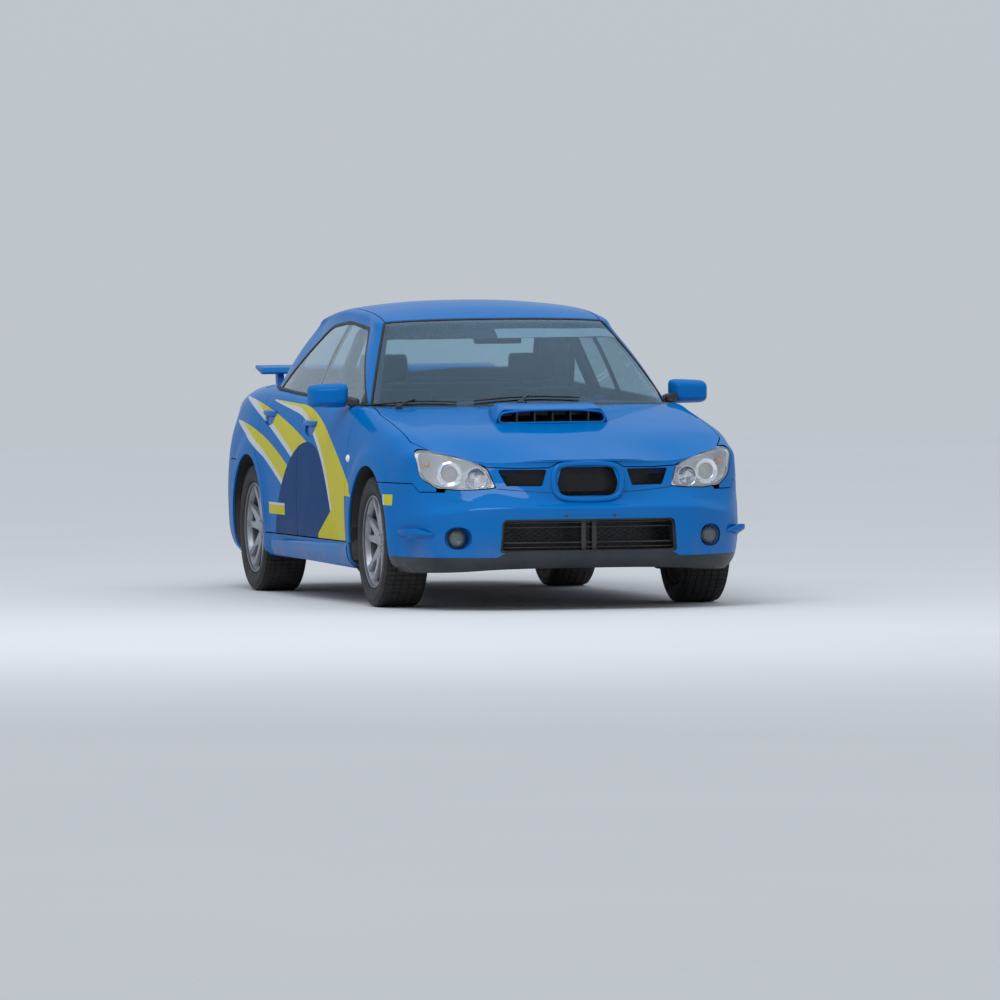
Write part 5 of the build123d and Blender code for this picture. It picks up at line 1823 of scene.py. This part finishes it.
def build_wheels(width, radius, bead, blocks):
    """Four tyres and rims, with the discs and callipers behind the spokes."""
    tyre = make_tyre(width, radius, bead, blocks)
    rim, barrel = make_rim(bead, width / 2 - 12)
    caliper, disc = make_brake()
    for end, axle in (("front", FRONT_AXLE_Y), ("rear", REAR_AXLE_Y)):
        for side, sign in SIDES.items():
            place = Matrix.Translation(Vector((sign * TRACKS[end], axle, AXLE_Z)) * MM)
            wheel = f"{end}_wheel_{side}"
            holder = f"front_knuckle_{side}" if end == "front" else "car_body"
            for source, name, body, slot, finish, nodes in (
                (tyre, f"tyre_{side}_detail", wheel, "tyre_rubber", "tyre_rubber", (f"{end}_tyre_{side}",)),
                (rim, f"rim_{side}_detail", wheel, "rim_silver", "rim_silver", (f"{end}_rim_{side}",)),
                (barrel, f"barrel_{side}_detail", wheel, "rim_silver", "rim_dark", ()),
                (disc, f"brake_disc_{side}", wheel, "rim_silver", "disc_steel", ()),
                (caliper, f"caliper_{side}", holder, "cast_metal", "caliper_grey", ()),
            ):
                piece = (copy_of if sign > 0 else mirrored)(source, f"{end}_{name}")
                piece.data.transform(place)
                fit(piece, body, slot, finish, *nodes)
    discard(tyre, rim, barrel, disc, caliper)


# Rear end


# Rings of the tail lamps: across, height, radius, finish
TAIL_RINGS = ((642, 782, 36, "red_lens"), (642, 858, 30, "amber_lens"), (560, 800, 30, "white_film"))
# Pads on the tail: name, outline from the front, lift, body, slot, finish
TAIL_PADS = (
    ("boot_bar", ((-290, 872, 8), (290, 872, 8), (290, 902, 8), (-290, 902, 8)), 14,
     "boot_lid", "blue_paint", "plain_blue"),
    ("plate_holder", ((-268, 742, 8), (268, 742, 8), (268, 862, 8), (-268, 862, 8)), 4,
     "boot_lid", "black_trim", "black_trim"),
    ("plate_blank", ((-258, 751, 5), (258, 751, 5), (258, 853, 5), (-258, 853, 5)), 7,
     "boot_lid", "black_trim", "white_film"),
    ("bumper_insert", ((-420, 262, 10), (420, 262, 10), (400, 372, 20), (-400, 372, 20)), 2.5,
     "car_body", "black_trim", "black_trim"),
)


def build_rear():
    """Tail lamps, wing, plate rest, boot bar and tailpipe."""
    cut_piece("lens_left", "tail_lamp_lens_left", ("tail_lamp",), (), "car_body", "red_lens", "tail_lamps")
    cut_piece("solid", "tail_lamp_case_left", ("tail_lamp",), ("tail_hollow",), "car_body", "red_lens",
              finish="lamp_grey")
    for index, (x, z, radius, finish) in enumerate(TAIL_RINGS, 1):
        profile = (
            (radius, 0), (radius + 5, -1), (radius + 6, -8), (radius, -10), (radius * 0.5, -14), (0, -15),
            (0, -4),
            (radius * 0.4, -5),
        )
        ring = lathe(f"tail_lamp_ring_{index}_left", profile, (x, skin_back(x, z) - 8, z), (0.45, 1, 0.1), 36)
        fit_pair(smooth(ring, 50), "car_body", "red_lens", finish)
    foil = ((1985, 1056, 8), (2020, 1084, 40), (2165, 1096, 8), (2165, 1078, 6), (2030, 1050, 60))
    blade = prism("wing_blade", "side", foil, -605, 605, 8)
    foot = prism("foot", "side", ((2025, 985), (2045, 1066), (2115, 1074), (2095, 985)), 484, 516)
    wing = [soften(piece, 7) for piece in (blade, foot, mirrored(foot, "foot_right"))]
    lamp = block("high_lamp", (-150, 150), (2158, 2168), (1080, 1092), 2, 2)
    fit(smooth(lamp), "boot_lid", "red_lens", "red_lens")
    fit(smooth(join(wing, "wing_skin"), 40), "boot_lid", "blue_paint", "plain_blue", "rear_wing")
    for name, outline, lift, body, slot, finish in TAIL_PADS:
        raised("lower", name, outline, 2000, 2400, lift, body, slot, finish)
    profile = ((38, -70), (44, -60), (47, 0), (44, 3), (41, 0), (39, -50), (36, -66))
    tip = lathe("exhaust_tip", profile, (560, 2222, 262), (0, 1, 0), 48)
    fit(smooth(tip), "car_body", "exhaust_steel", "exhaust_steel")


# Wipers and cabin


def screen_point(across, height, lift):
    """A point over the windscreen's glass."""
    start = Vector((across, -3000, height)) * MM
    found, place, normal, _ = WORK["cabin_surface"].ray_cast(start, Vector((0, 1, 0)))
    return (place + normal * lift * MM) / MM if found else Vector((across, -1050, height))


# Wipers: name, pivot, both ends of the blade as (across, height)
WIPERS = (
    ("wiper_right", (-640, -1040, 948), (-745, 948), (-345, 962)),
    ("wiper_middle", (-60, -1122, 960), (-262, 966), (262, 976)),
)
BLADE_STEPS = 8


def build_wipers():
    """Two arms with their blades parked low on the glass."""
    for name, pivot, left, right in WIPERS:
        line = []
        for step in range(BLADE_STEPS + 1):
            share = step / BLADE_STEPS
            x, z = Vector(left).lerp(Vector(right), share)
            line.append(screen_point(x, z + 12 * math.sin(math.pi * share), 7))
        middle = line[BLADE_STEPS // 2]
        bend = Vector(pivot).lerp(middle, 0.5) + Vector((0, -14, 16))
        arm = tube("arm", [Vector(pivot), bend, middle + Vector((0, -8, 7))], 7.0, 8)
        boss = lathe("boss", ((0, 14), (12, 12), (16, 6), (16, -12), (0, -12)), pivot, (0, -0.4, 1), 24)
        wiper = join([tube("blade", line, 5.0, 8), arm, boss], name)
        fit(smooth(wiper, 50), "car_body", "black_trim", "black_trim")


DASHBOARD = (
    (-945, 640, 10), (-610, 622, 30), (-566, 760, 50), (-640, 846, 60), (-800, 876, 90), (-945, 900, 10),
)
DIAL_HOOD = ((-730, 840, 20), (-610, 824, 12), (-596, 872, 24), (-650, 900, 30), (-740, 884, 30))
CONSOLE = (
    (-640, 420, 10), (60, 400, 20), (60, 452, 30), (-180, 470, 60), (-420, 500, 80), (-590, 640, 30),
    (-640, 640, 10),
)
LEVER_PROFILE = ((0, 118), (16, 112), (22, 96), (18, 78), (7, 66), (6, 8), (34, 6), (38, 0), (0, 0))


def build_dashboard():
    """The dashboard with its hood, vents, screen and console, and the mirror on the windscreen."""
    dash = soften(prism("dashboard_skin", "side", DASHBOARD, -655, 655), 12)
    hood = soften(prism("hood", "side", DIAL_HOOD, 205, 545), 16)
    dash = join([dash, hood], "dashboard_skin")
    fit(smooth(dash, 40), "car_body", "dash_plastic", "dash_plastic", "dashboard")
    console = soften(prism("console", "side", CONSOLE, -95, 95), 10)
    fit(smooth(console, 40), "car_body", "dash_plastic", "dash_plastic")
    details = []
    for x in (-560, -120, 120, 560):
        vent = ((30, 0), (38, 2), (42, 0), (42, -12), (30, -12))
        details.append(lathe("vent", vent, (x, -588, 782), (0, 1, 0.2), 32))
        for z in (764, 780, 796):
            details.append(block("slat", (x - 30, x + 30), (-592, -584), (z, z + 3), 1, 1))
    details.append(block("screen_frame", (-92, 92), (-606, -572), (640, 740), 8, 3))
    knob = ((0, 14), (15, 12), (18, 6), (18, 0), (0, 0))
    for x in (-55, 0, 55):
        details.append(lathe("knob", knob, (x, -572, 665), (0, 1, 0.05), 24))
    dial = ((42, 2), (48, 4), (50, 0), (50, -6), (42, -6))
    for x in (320, 430):
        details.append(lathe("dial", dial, (x, -606, 846), (0, 1, 0.25), 40))
    details.append(lathe("lever", LEVER_PROFILE, (0, -300, 478), (0, 0.12, 1), 28))
    fit(smooth(join(details, "dashboard_trim"), 40), "car_body", "dash_plastic", "gloss_black")
    glass = block("cabin_mirror", (-118, 118), (-452, -424), (1232, 1296), 10, 4)
    top = screen_point(0, 1318, -16)
    stem = tube("stem", [(0, -440, 1280), (0, top[1] + 14, top[2] - 10), tuple(top)], 8, 10)
    fit(smooth(join([glass, stem], "cabin_mirror"), 40), "car_body", "dash_plastic", "black_trim")


def build_steering_wheel():
    """A round rim with three spokes and a padded middle, square to the column."""
    tilt = math.radians(24)
    place = Matrix.Translation(Vector((370, -420, 800)) * MM) @ Matrix.Rotation(-(math.pi / 2 - tilt), 4, "X")
    deselect()
    bpy.ops.mesh.primitive_torus_add(
        major_segments=64, minor_segments=14, major_radius=178 * MM, minor_radius=15 * MM,
    )
    parts = [named("wheel_rim")]
    for angle in (0, 180, 270):
        spoke = block("spoke", (40, 172), (-19, 19), (-14, -2), 5, 2)
        for vertex in spoke.data.vertices:
            share = share_of(vertex.co.x / MM, 40, 170)
            vertex.co.y *= 1.3 - 0.6 * share
            vertex.co.z += 10 * share * MM
        spoke.data.transform(Matrix.Rotation(math.radians(angle), 4, "Z"))
        parts.append(spoke)
    profile = ((0, 12), (30, 11), (52, 6), (62, -6), (60, -26), (36, -40), (30, -90), (0, -90))
    parts.append(lathe("pad", profile, CENTRE, (0, 0, 1), 40))
    wheel = join(parts, "steering_wheel_detail")
    wheel.data.transform(place)
    fit(smooth(wheel, 40), "steering_wheel", "dash_plastic", "dash_plastic", "steering_wheel")


def build_lining():
    """The pale roof lining and pillar trims inside the glasshouse."""
    lining = cut_piece(
        "lining", "roof_lining", (), ("windscreen", "rear_window", "windows", "windows_right"),
        "car_body", "dash_plastic", finish="head_lining",
    )
    carve(lining, WORK["shells"]["cabin"])
    drop_crumbs(lining, 120)


# Seats


SEAT_MIDDLE = 370
# Front pads: outline from the side, half the width, how far the edges rise
PADS = {
    "seat_cushion": (((-322, 300, 70), (160, 285, 30), (168, 402, 40), (-60, 428, 200),
    (-322, 452, 60)), 224, 26),
    "seat_back": (((138, 330, 30), (218, 318, 30), (388, 1010, 50), (300, 1022, 40),
    (205, 700, 400)), 222, 30),
    "head_rest": (((318, 1042, 30), (398, 1030, 30), (412, 1172, 40), (346, 1178, 40)), 112, 0),
}
BENCH_PADS = {
    "bench_cushion": ((572, 290, 30), (965, 285, 20), (965, 455, 30), (770, 470, 200), (572, 486, 50)),
    "bench_back": ((872, 462, 20), (968, 460, 20), (968, 948, 20), (922, 962, 30)),
}


def swell(pad, voxel, pressure, cap):
    """Remeshes a pad and lets its cloth fill with air, as far as the cap, in millimetres."""
    modify(pad, "REMESH", mode="VOXEL", voxel_size=voxel * MM)
    before = np.empty(len(pad.data.vertices) * 3)
    pad.data.vertices.foreach_get("co", before)
    pick(pad)
    cloth = pad.modifiers.new("Cloth", "CLOTH")
    cloth.settings.use_pressure = True
    cloth.settings.uniform_pressure_force = pressure
    cloth.settings.effector_weights.gravity = 0.0
    cloth.settings.quality = 4
    cloth.settings.mass = 0.3
    scene = bpy.context.scene
    for frame_number in range(1, 21):
        scene.frame_set(frame_number)
    drawn = pad.evaluated_get(bpy.context.evaluated_depsgraph_get()).data
    after = np.empty(len(drawn.vertices) * 3)
    drawn.vertices.foreach_get("co", after)
    pad.modifiers.remove(cloth)
    scene.frame_set(1)
    move = (after - before).reshape(-1, 3)
    length = np.linalg.norm(move, axis=1, keepdims=True)
    move *= np.minimum(1.0, cap * MM / np.maximum(length, 1e-9))
    pad.data.vertices.foreach_set("co", (before.reshape(-1, 3) + move).ravel())
    pad.data.update()
    modify(pad, "SUBSURF", levels=1, render_levels=1)
    return smooth(pad, 80)


def bolster(pad, middle, half, rise):
    """Raises both edges of a pad towards the sitter, and rounds its plan."""
    for vertex in pad.data.vertices:
        share = abs(vertex.co.x / MM - middle) / half
        lift = rise * max(share - 0.55, 0) / 0.45
        if vertex.co.z > 0.5:
            vertex.co.y -= lift * MM * (1 if vertex.co.y < (0.20 + (vertex.co.z - 0.33) * 0.27) else 0)
        elif vertex.co.z > 0.36:
            vertex.co.z += lift * MM


def pad_shape(name, outline, middle, half, rise):
    """A pad's closed starting form, cut fine enough to bend."""
    pad = prism(name, "side", outline, middle - half, middle + half)
    soften(pad, 18)
    modify(pad, "REMESH", mode="VOXEL", voxel_size=12 * MM)
    if rise:
        bolster(pad, middle, half, rise)
    return pad


def build_seats(voxel, pressure, cap):
    """Front seats with bolsters, their head rests, and the rear bench, all as swollen cloth."""
    for name, (outline, half, rise) in PADS.items():
        pad = swell(pad_shape(name + "_left", outline, SEAT_MIDDLE, half, rise), voxel, pressure, cap)
        twin = mirrored(pad, name + "_right")
        for piece in (pad, twin):
            fit(piece, "car_body", "seat_fabric", "seat_fabric", "front_seats")
    for name, outline in BENCH_PADS.items():
        for index, middle in enumerate((-300, 300), 1):
            pad = swell(pad_shape(f"{name}_{index}", outline, middle, 292, 0), voxel, pressure, cap)
            fit(pad, "car_body", "seat_fabric", "seat_fabric", "rear_seat")
    posts = []
    for middle in (-SEAT_MIDDLE, SEAT_MIDDLE):
        for x in (middle - 52, middle + 52):
            posts.append(tube("post", [(x, 345, 960), (x, 368, 1060)], 6, 8, smoothed=False))
        for x in (middle - 190, middle + 190):
            posts.append(block("rail", (x - 18, x + 18), (-300, 160), (242, 292), 4, 2))
    fit(smooth(join(posts, "seat_rails")), "car_body", "chassis_black", "chassis_black")


# Finishes on the kept model parts

KEPT = {
    "door_posts": "post_paint", "floor_pan": "underbody", "boot_floor": "underbody",
    "rear_shelf": "dash_plastic",
    "front_structure": "underbody", "wheel_liners": "black_trim", "engine": "cast_metal",
    "driveline": "cast_metal",
    "exhaust": "exhaust_steel", "front_crossmember": "chassis_black", "front_springs": "chassis_black",
    "rear_suspension": "chassis_black", "front_knuckle_left": "cast_metal",
    "front_knuckle_right": "cast_metal",
}


def finish_kept():
    """Gives every model part that still shows a procedural finish."""
    for name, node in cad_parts.items():
        if node.hide_render:
            continue
        finish = FINISHES[KEPT.get(name, "black_trim")]
        if not node.data.materials:
            node.data.materials.append(finish)
        for index in range(len(node.material_slots)):
            node.material_slots[index].material = finish


# Stage


CAMERA_PLACE = (-17.36788, -70.38427, 2.48864)
CAMERA_RIGHT = (0.9704254, -0.24127107, -0.00792494)
CAMERA_UP = (0.01442139, 0.025172, 0.99957911)
CAMERA_LENS = 535.63


def make_camera():
    """The photograph's view: a long lens from the front right-hand side, at its real distance."""
    data = bpy.data.cameras.new("camera")
    data.lens = CAMERA_LENS
    data.sensor_width = 36.0
    data.clip_end = 500.0
    camera = bpy.data.objects.new("camera", data)
    bpy.context.collection.objects.link(camera)
    right, up = Vector(CAMERA_RIGHT), Vector(CAMERA_UP)
    back = right.cross(up)
    turn = Matrix((right, up, back)).transposed().to_4x4()
    camera.matrix_world = Matrix.Translation(CAMERA_PLACE) @ turn
    bpy.context.scene.camera = camera


# The sky's light: height and level; and its two tints for rays that look at it
SKY_LEVELS = ((0.0, 0.42), (0.12, 0.6), (0.45, 0.95), (1.0, 1.3))
SKY_LOW = (0.52, 0.56, 0.60, 1.0)
SKY_HIGH = (0.50, 0.66, 0.86, 1.0)


def make_world(strength):
    """An overcast sky: brightest overhead, and pale all round for camera, mirror and see-through rays."""
    world = bpy.data.worlds.new("sky")
    bpy.context.scene.world = world
    world.use_nodes = True
    tree = world.node_tree
    shade_node = tree.nodes["Background"]
    shade_node.inputs["Strength"].default_value = strength
    place = tree.nodes.new("ShaderNodeTexCoord").outputs["Generated"]
    split = tree.nodes.new("ShaderNodeSeparateXYZ")
    tree.links.new(place, split.inputs[0])
    ramp = tree.nodes.new("ShaderNodeValToRGB")
    tree.links.new(split.outputs["Z"], ramp.inputs[0])
    for index, (height, level) in enumerate(SKY_LEVELS):
        stop = ramp.color_ramp.elements[index] if index < 2 else ramp.color_ramp.elements.new(height)
        stop.position = height
        stop.color = (level, level * 1.01, level * 1.03, 1.0)
    tree.links.new(ramp.outputs[0], shade_node.inputs["Color"])
    pale = tree.nodes.new("ShaderNodeBackground")
    pale.inputs["Strength"].default_value = 1.0
    soft = tree.nodes.new("ShaderNodeValToRGB")
    tree.links.new(split.outputs["Z"], soft.inputs[0])
    for stop, height, colour in zip(soft.color_ramp.elements, (0.0, 0.5), (SKY_LOW, SKY_HIGH)):
        stop.position = height
        stop.color = colour
    tree.links.new(soft.outputs[0], pale.inputs["Color"])
    rays = tree.nodes.new("ShaderNodeLightPath")
    seen = rays.outputs["Is Camera Ray"]
    for kind in ("Is Glossy Ray", "Is Transmission Ray"):
        both = tree.nodes.new("ShaderNodeMath")
        both.operation = "MAXIMUM"
        tree.links.new(seen, both.inputs[0])
        tree.links.new(rays.outputs[kind], both.inputs[1])
        seen = both.outputs[0]
    mix = tree.nodes.new("ShaderNodeMixShader")
    tree.links.new(seen, mix.inputs[0])
    tree.links.new(shade_node.outputs[0], mix.inputs[1])
    tree.links.new(pale.outputs[0], mix.inputs[2])
    tree.links.new(mix.outputs[0], tree.nodes["World Output"].inputs[0])


def make_floor(size):
    """The ground under the car, which isn't part of it."""
    deselect()
    bpy.ops.mesh.primitive_plane_add(size=size)
    floor = named("floor")
    finish = Finish("floor", roughness=0.9)
    finish.colour(finish.mix(finish.noise(0.4, 2.0), (0.59, 0.62, 0.65, 1.0), (0.63, 0.66, 0.69, 1.0)))
    floor.data.materials.append(finish.material)


def make_lamp(name, place, target, size, power):
    """A round soft lamp in metres, turned to a point."""
    data = bpy.data.lights.new(name, "AREA")
    data.shape = "DISK"
    data.size = size
    data.energy = power
    lamp = bpy.data.objects.new(name, data)
    lamp.location = place
    lamp.rotation_mode = "QUATERNION"
    lamp.rotation_quaternion = (Vector(target) - Vector(place)).to_track_quat("-Z", "Y")
    bpy.context.collection.objects.link(lamp)


# Properties, operators and panel


class SaloonColours(bpy.types.PropertyGroup):
    blue: bpy.props.FloatVectorProperty(
        name="Blue", description="Main body colour", subtype="COLOR", size=3, min=0, max=1,
        default=(0.0, 0.135, 0.45),
    )
    navy: bpy.props.FloatVectorProperty(
        name="Navy", description="Dark round field on the doors", subtype="COLOR", size=3, min=0, max=1,
        default=(0.002, 0.045, 0.17),
    )
    yellow: bpy.props.FloatVectorProperty(
        name="Yellow", description="Stripes", subtype="COLOR", size=3, min=0, max=1,
        default=(0.52, 0.48, 0.03),
    )
    white: bpy.props.FloatVectorProperty(
        name="White", description="Stripe borders", subtype="COLOR", size=3, min=0, max=1,
        default=(0.52, 0.56, 0.59),
    )


class SaloonSizes(bpy.types.PropertyGroup):
    tyre_width: bpy.props.FloatProperty(
        name="Tyre width", description="Width of a tyre", default=0.215, min=0.15, max=0.26, unit="LENGTH",
    )
    tyre_radius: bpy.props.FloatProperty(
        name="Tyre radius", description="Radius over the tread", default=0.3125, min=0.28, max=0.32,
        unit="LENGTH",
    )
    rim_radius: bpy.props.FloatProperty(
        name="Rim radius", description="Radius of a rim under the bead", default=0.219, min=0.18, max=0.23,
        unit="LENGTH",
    )
    tread_blocks: bpy.props.IntProperty(
        name="Tread blocks", description="Blocks round one tyre", default=72, min=36, max=120,
    )
    seat_voxel: bpy.props.FloatProperty(
        name="Seat grain", description="Size of a cell of the seats' mesh", default=0.008, min=0.004,
        max=0.02, unit="LENGTH",
    )
    seat_pressure: bpy.props.FloatProperty(
        name="Seat pressure", description="Air pressure in the seats' cloth", default=4.0, min=0.0, max=20.0,
    )
    seat_swell: bpy.props.FloatProperty(
        name="Seat swell", description="How far the seats' cloth may swell", default=0.014, min=0.0, max=0.03,
        unit="LENGTH",
    )


class SaloonStage(bpy.types.PropertyGroup):
    floor: bpy.props.FloatProperty(
        name="Floor", description="Side of the floor", default=60.0, min=5.0, max=400.0, unit="LENGTH",
    )
    sky: bpy.props.FloatProperty(
        name="Sky", description="Strength of the sky's light", default=0.8, min=0.1, max=5.0,
    )
    lamp: bpy.props.FloatProperty(
        name="Lamp", description="Power of the large soft lamp", default=350.0, min=0.0, max=20000.0,
        unit="POWER",
    )


class SALOON_OT_finishes(bpy.types.Operator):
    """Makes every material of the car"""

    bl_idname = "saloon.finishes"
    bl_label = "Finishes"

    def execute(self, context):
        FINISHES.update(make_materials(context.scene.saloon_colours))
        return {"FINISHED"}


class SALOON_OT_body(bpy.types.Operator):
    """Draws the body and cuts its panels and trim"""

    bl_idname = "saloon.body"
    bl_label = "Body panels"

    def execute(self, context):
        make_shells()
        build_panels()
        return {"FINISHED"}


class SALOON_OT_glasshouse(bpy.types.Operator):
    """Cuts the roof, the rails, the glass and its seals"""

    bl_idname = "saloon.glasshouse"
    bl_label = "Glasshouse"

    def execute(self, context):
        build_glass()
        return {"FINISHED"}


class SALOON_OT_doors(bpy.types.Operator):
    """Trims the doors inside, and gives them their mirrors and handles"""

    bl_idname = "saloon.doors"
    bl_label = "Door trim, mirrors and handles"

    def execute(self, context):
        build_door_insides()
        build_mirrors()
        build_handles()
        return {"FINISHED"}


class SALOON_OT_front_end(bpy.types.Operator):
    """Models the lamps, grilles, intake, fins, skirts and scoop"""

    bl_idname = "saloon.front_end"
    bl_label = "Front end"

    def execute(self, context):
        build_grilles()
        build_headlamps()
        build_fog_lamps()
        build_bumper_details()
        build_skirts()
        build_scoop()
        build_ribs("bonnet_ribs", "bonnet", BONNET_RIBS)
        build_ribs("boot_lid_ribs", "boot_lid", BOOT_RIBS)
        build_liners()
        return {"FINISHED"}


class SALOON_OT_wheels(bpy.types.Operator):
    """Models the tyres, rims and callipers"""

    bl_idname = "saloon.wheels"
    bl_label = "Wheels"

    def execute(self, context):
        sizes = context.scene.saloon_sizes
        build_wheels(sizes.tyre_width / MM, sizes.tyre_radius / MM, sizes.rim_radius / MM, sizes.tread_blocks)
        return {"FINISHED"}


class SALOON_OT_rear_end(bpy.types.Operator):
    """Models the tail lamps, wing, plate and tailpipe"""

    bl_idname = "saloon.rear_end"
    bl_label = "Rear end"

    def execute(self, context):
        build_rear()
        return {"FINISHED"}


class SALOON_OT_cabin(bpy.types.Operator):
    """Models the wipers, dashboard, steering wheel and roof lining"""

    bl_idname = "saloon.cabin"
    bl_label = "Wipers and cabin"

    def execute(self, context):
        build_wipers()
        build_dashboard()
        build_steering_wheel()
        build_lining()
        return {"FINISHED"}


class SALOON_OT_seats(bpy.types.Operator):
    """Models the front seats and the rear bench as swollen cloth"""

    bl_idname = "saloon.seats"
    bl_label = "Seats"

    def execute(self, context):
        sizes = context.scene.saloon_sizes
        build_seats(sizes.seat_voxel / MM, sizes.seat_pressure, sizes.seat_swell / MM)
        return {"FINISHED"}


class SALOON_OT_kept_parts(bpy.types.Operator):
    """Finishes the model parts that stay in view"""

    bl_idname = "saloon.kept_parts"
    bl_label = "Kept parts"

    def execute(self, context):
        finish_kept()
        return {"FINISHED"}


class SALOON_OT_clear_shop(bpy.types.Operator):
    """Puts away the shells and cutters that the panels were cut from"""

    bl_idname = "saloon.clear_shop"
    bl_label = "Put away the cutters"

    def execute(self, context):
        discard(WORK["surface"], WORK["cabin_surface"], *WORK["shells"].values(), *WORK["cutters"].values())
        WORK["cutters"].clear()
        WORK["shells"].clear()
        return {"FINISHED"}


class SALOON_OT_stage(bpy.types.Operator):
    """Sets the floor, the lamps, the sky and the camera"""

    bl_idname = "saloon.stage"
    bl_label = "Stage"

    def execute(self, context):
        stage = context.scene.saloon_stage
        make_camera()
        make_world(stage.sky)
        make_floor(stage.floor)
        make_lamp("top_lamp", (-3.0, -6.0, 8.0), (0, 0, 0.6), 6.0, stage.lamp)
        context.scene.view_settings.view_transform = "Standard"
        return {"FINISHED"}


GROUPS = (SaloonColours, SaloonSizes, SaloonStage)
OPERATORS = (
    SALOON_OT_finishes, SALOON_OT_body, SALOON_OT_glasshouse, SALOON_OT_doors, SALOON_OT_front_end,
    SALOON_OT_rear_end, SALOON_OT_wheels, SALOON_OT_cabin, SALOON_OT_seats, SALOON_OT_kept_parts,
    SALOON_OT_clear_shop, SALOON_OT_stage,
)


class SALOON_PT_build(bpy.types.Panel):
    """The sidebar list of what the car is built from"""

    bl_idname = "SALOON_PT_build"
    bl_label = "Rally saloon"
    bl_space_type = "VIEW_3D"
    bl_region_type = "UI"
    bl_category = "Saloon"

    def draw(self, context):
        for name in ("saloon_colours", "saloon_sizes", "saloon_stage"):
            group = getattr(context.scene, name)
            column = self.layout.column()
            for key in type(group).__annotations__:
                column.prop(group, key)
        for operator in OPERATORS:
            self.layout.operator(operator.bl_idname)


def register():
    for kind in GROUPS + OPERATORS + (SALOON_PT_build,):
        bpy.utils.register_class(kind)
    bpy.types.Scene.saloon_colours = bpy.props.PointerProperty(type=SaloonColours)
    bpy.types.Scene.saloon_sizes = bpy.props.PointerProperty(type=SaloonSizes)
    bpy.types.Scene.saloon_stage = bpy.props.PointerProperty(type=SaloonStage)


def unregister():
    del bpy.types.Scene.saloon_stage
    del bpy.types.Scene.saloon_sizes
    del bpy.types.Scene.saloon_colours
    for kind in reversed(GROUPS + OPERATORS + (SALOON_PT_build,)):
        bpy.utils.unregister_class(kind)


def main():
    register()
    for operator in OPERATORS:
        group, name = operator.bl_idname.split(".")
        getattr(getattr(bpy.ops, group), name)()


if __name__ == "__main__":
    main()
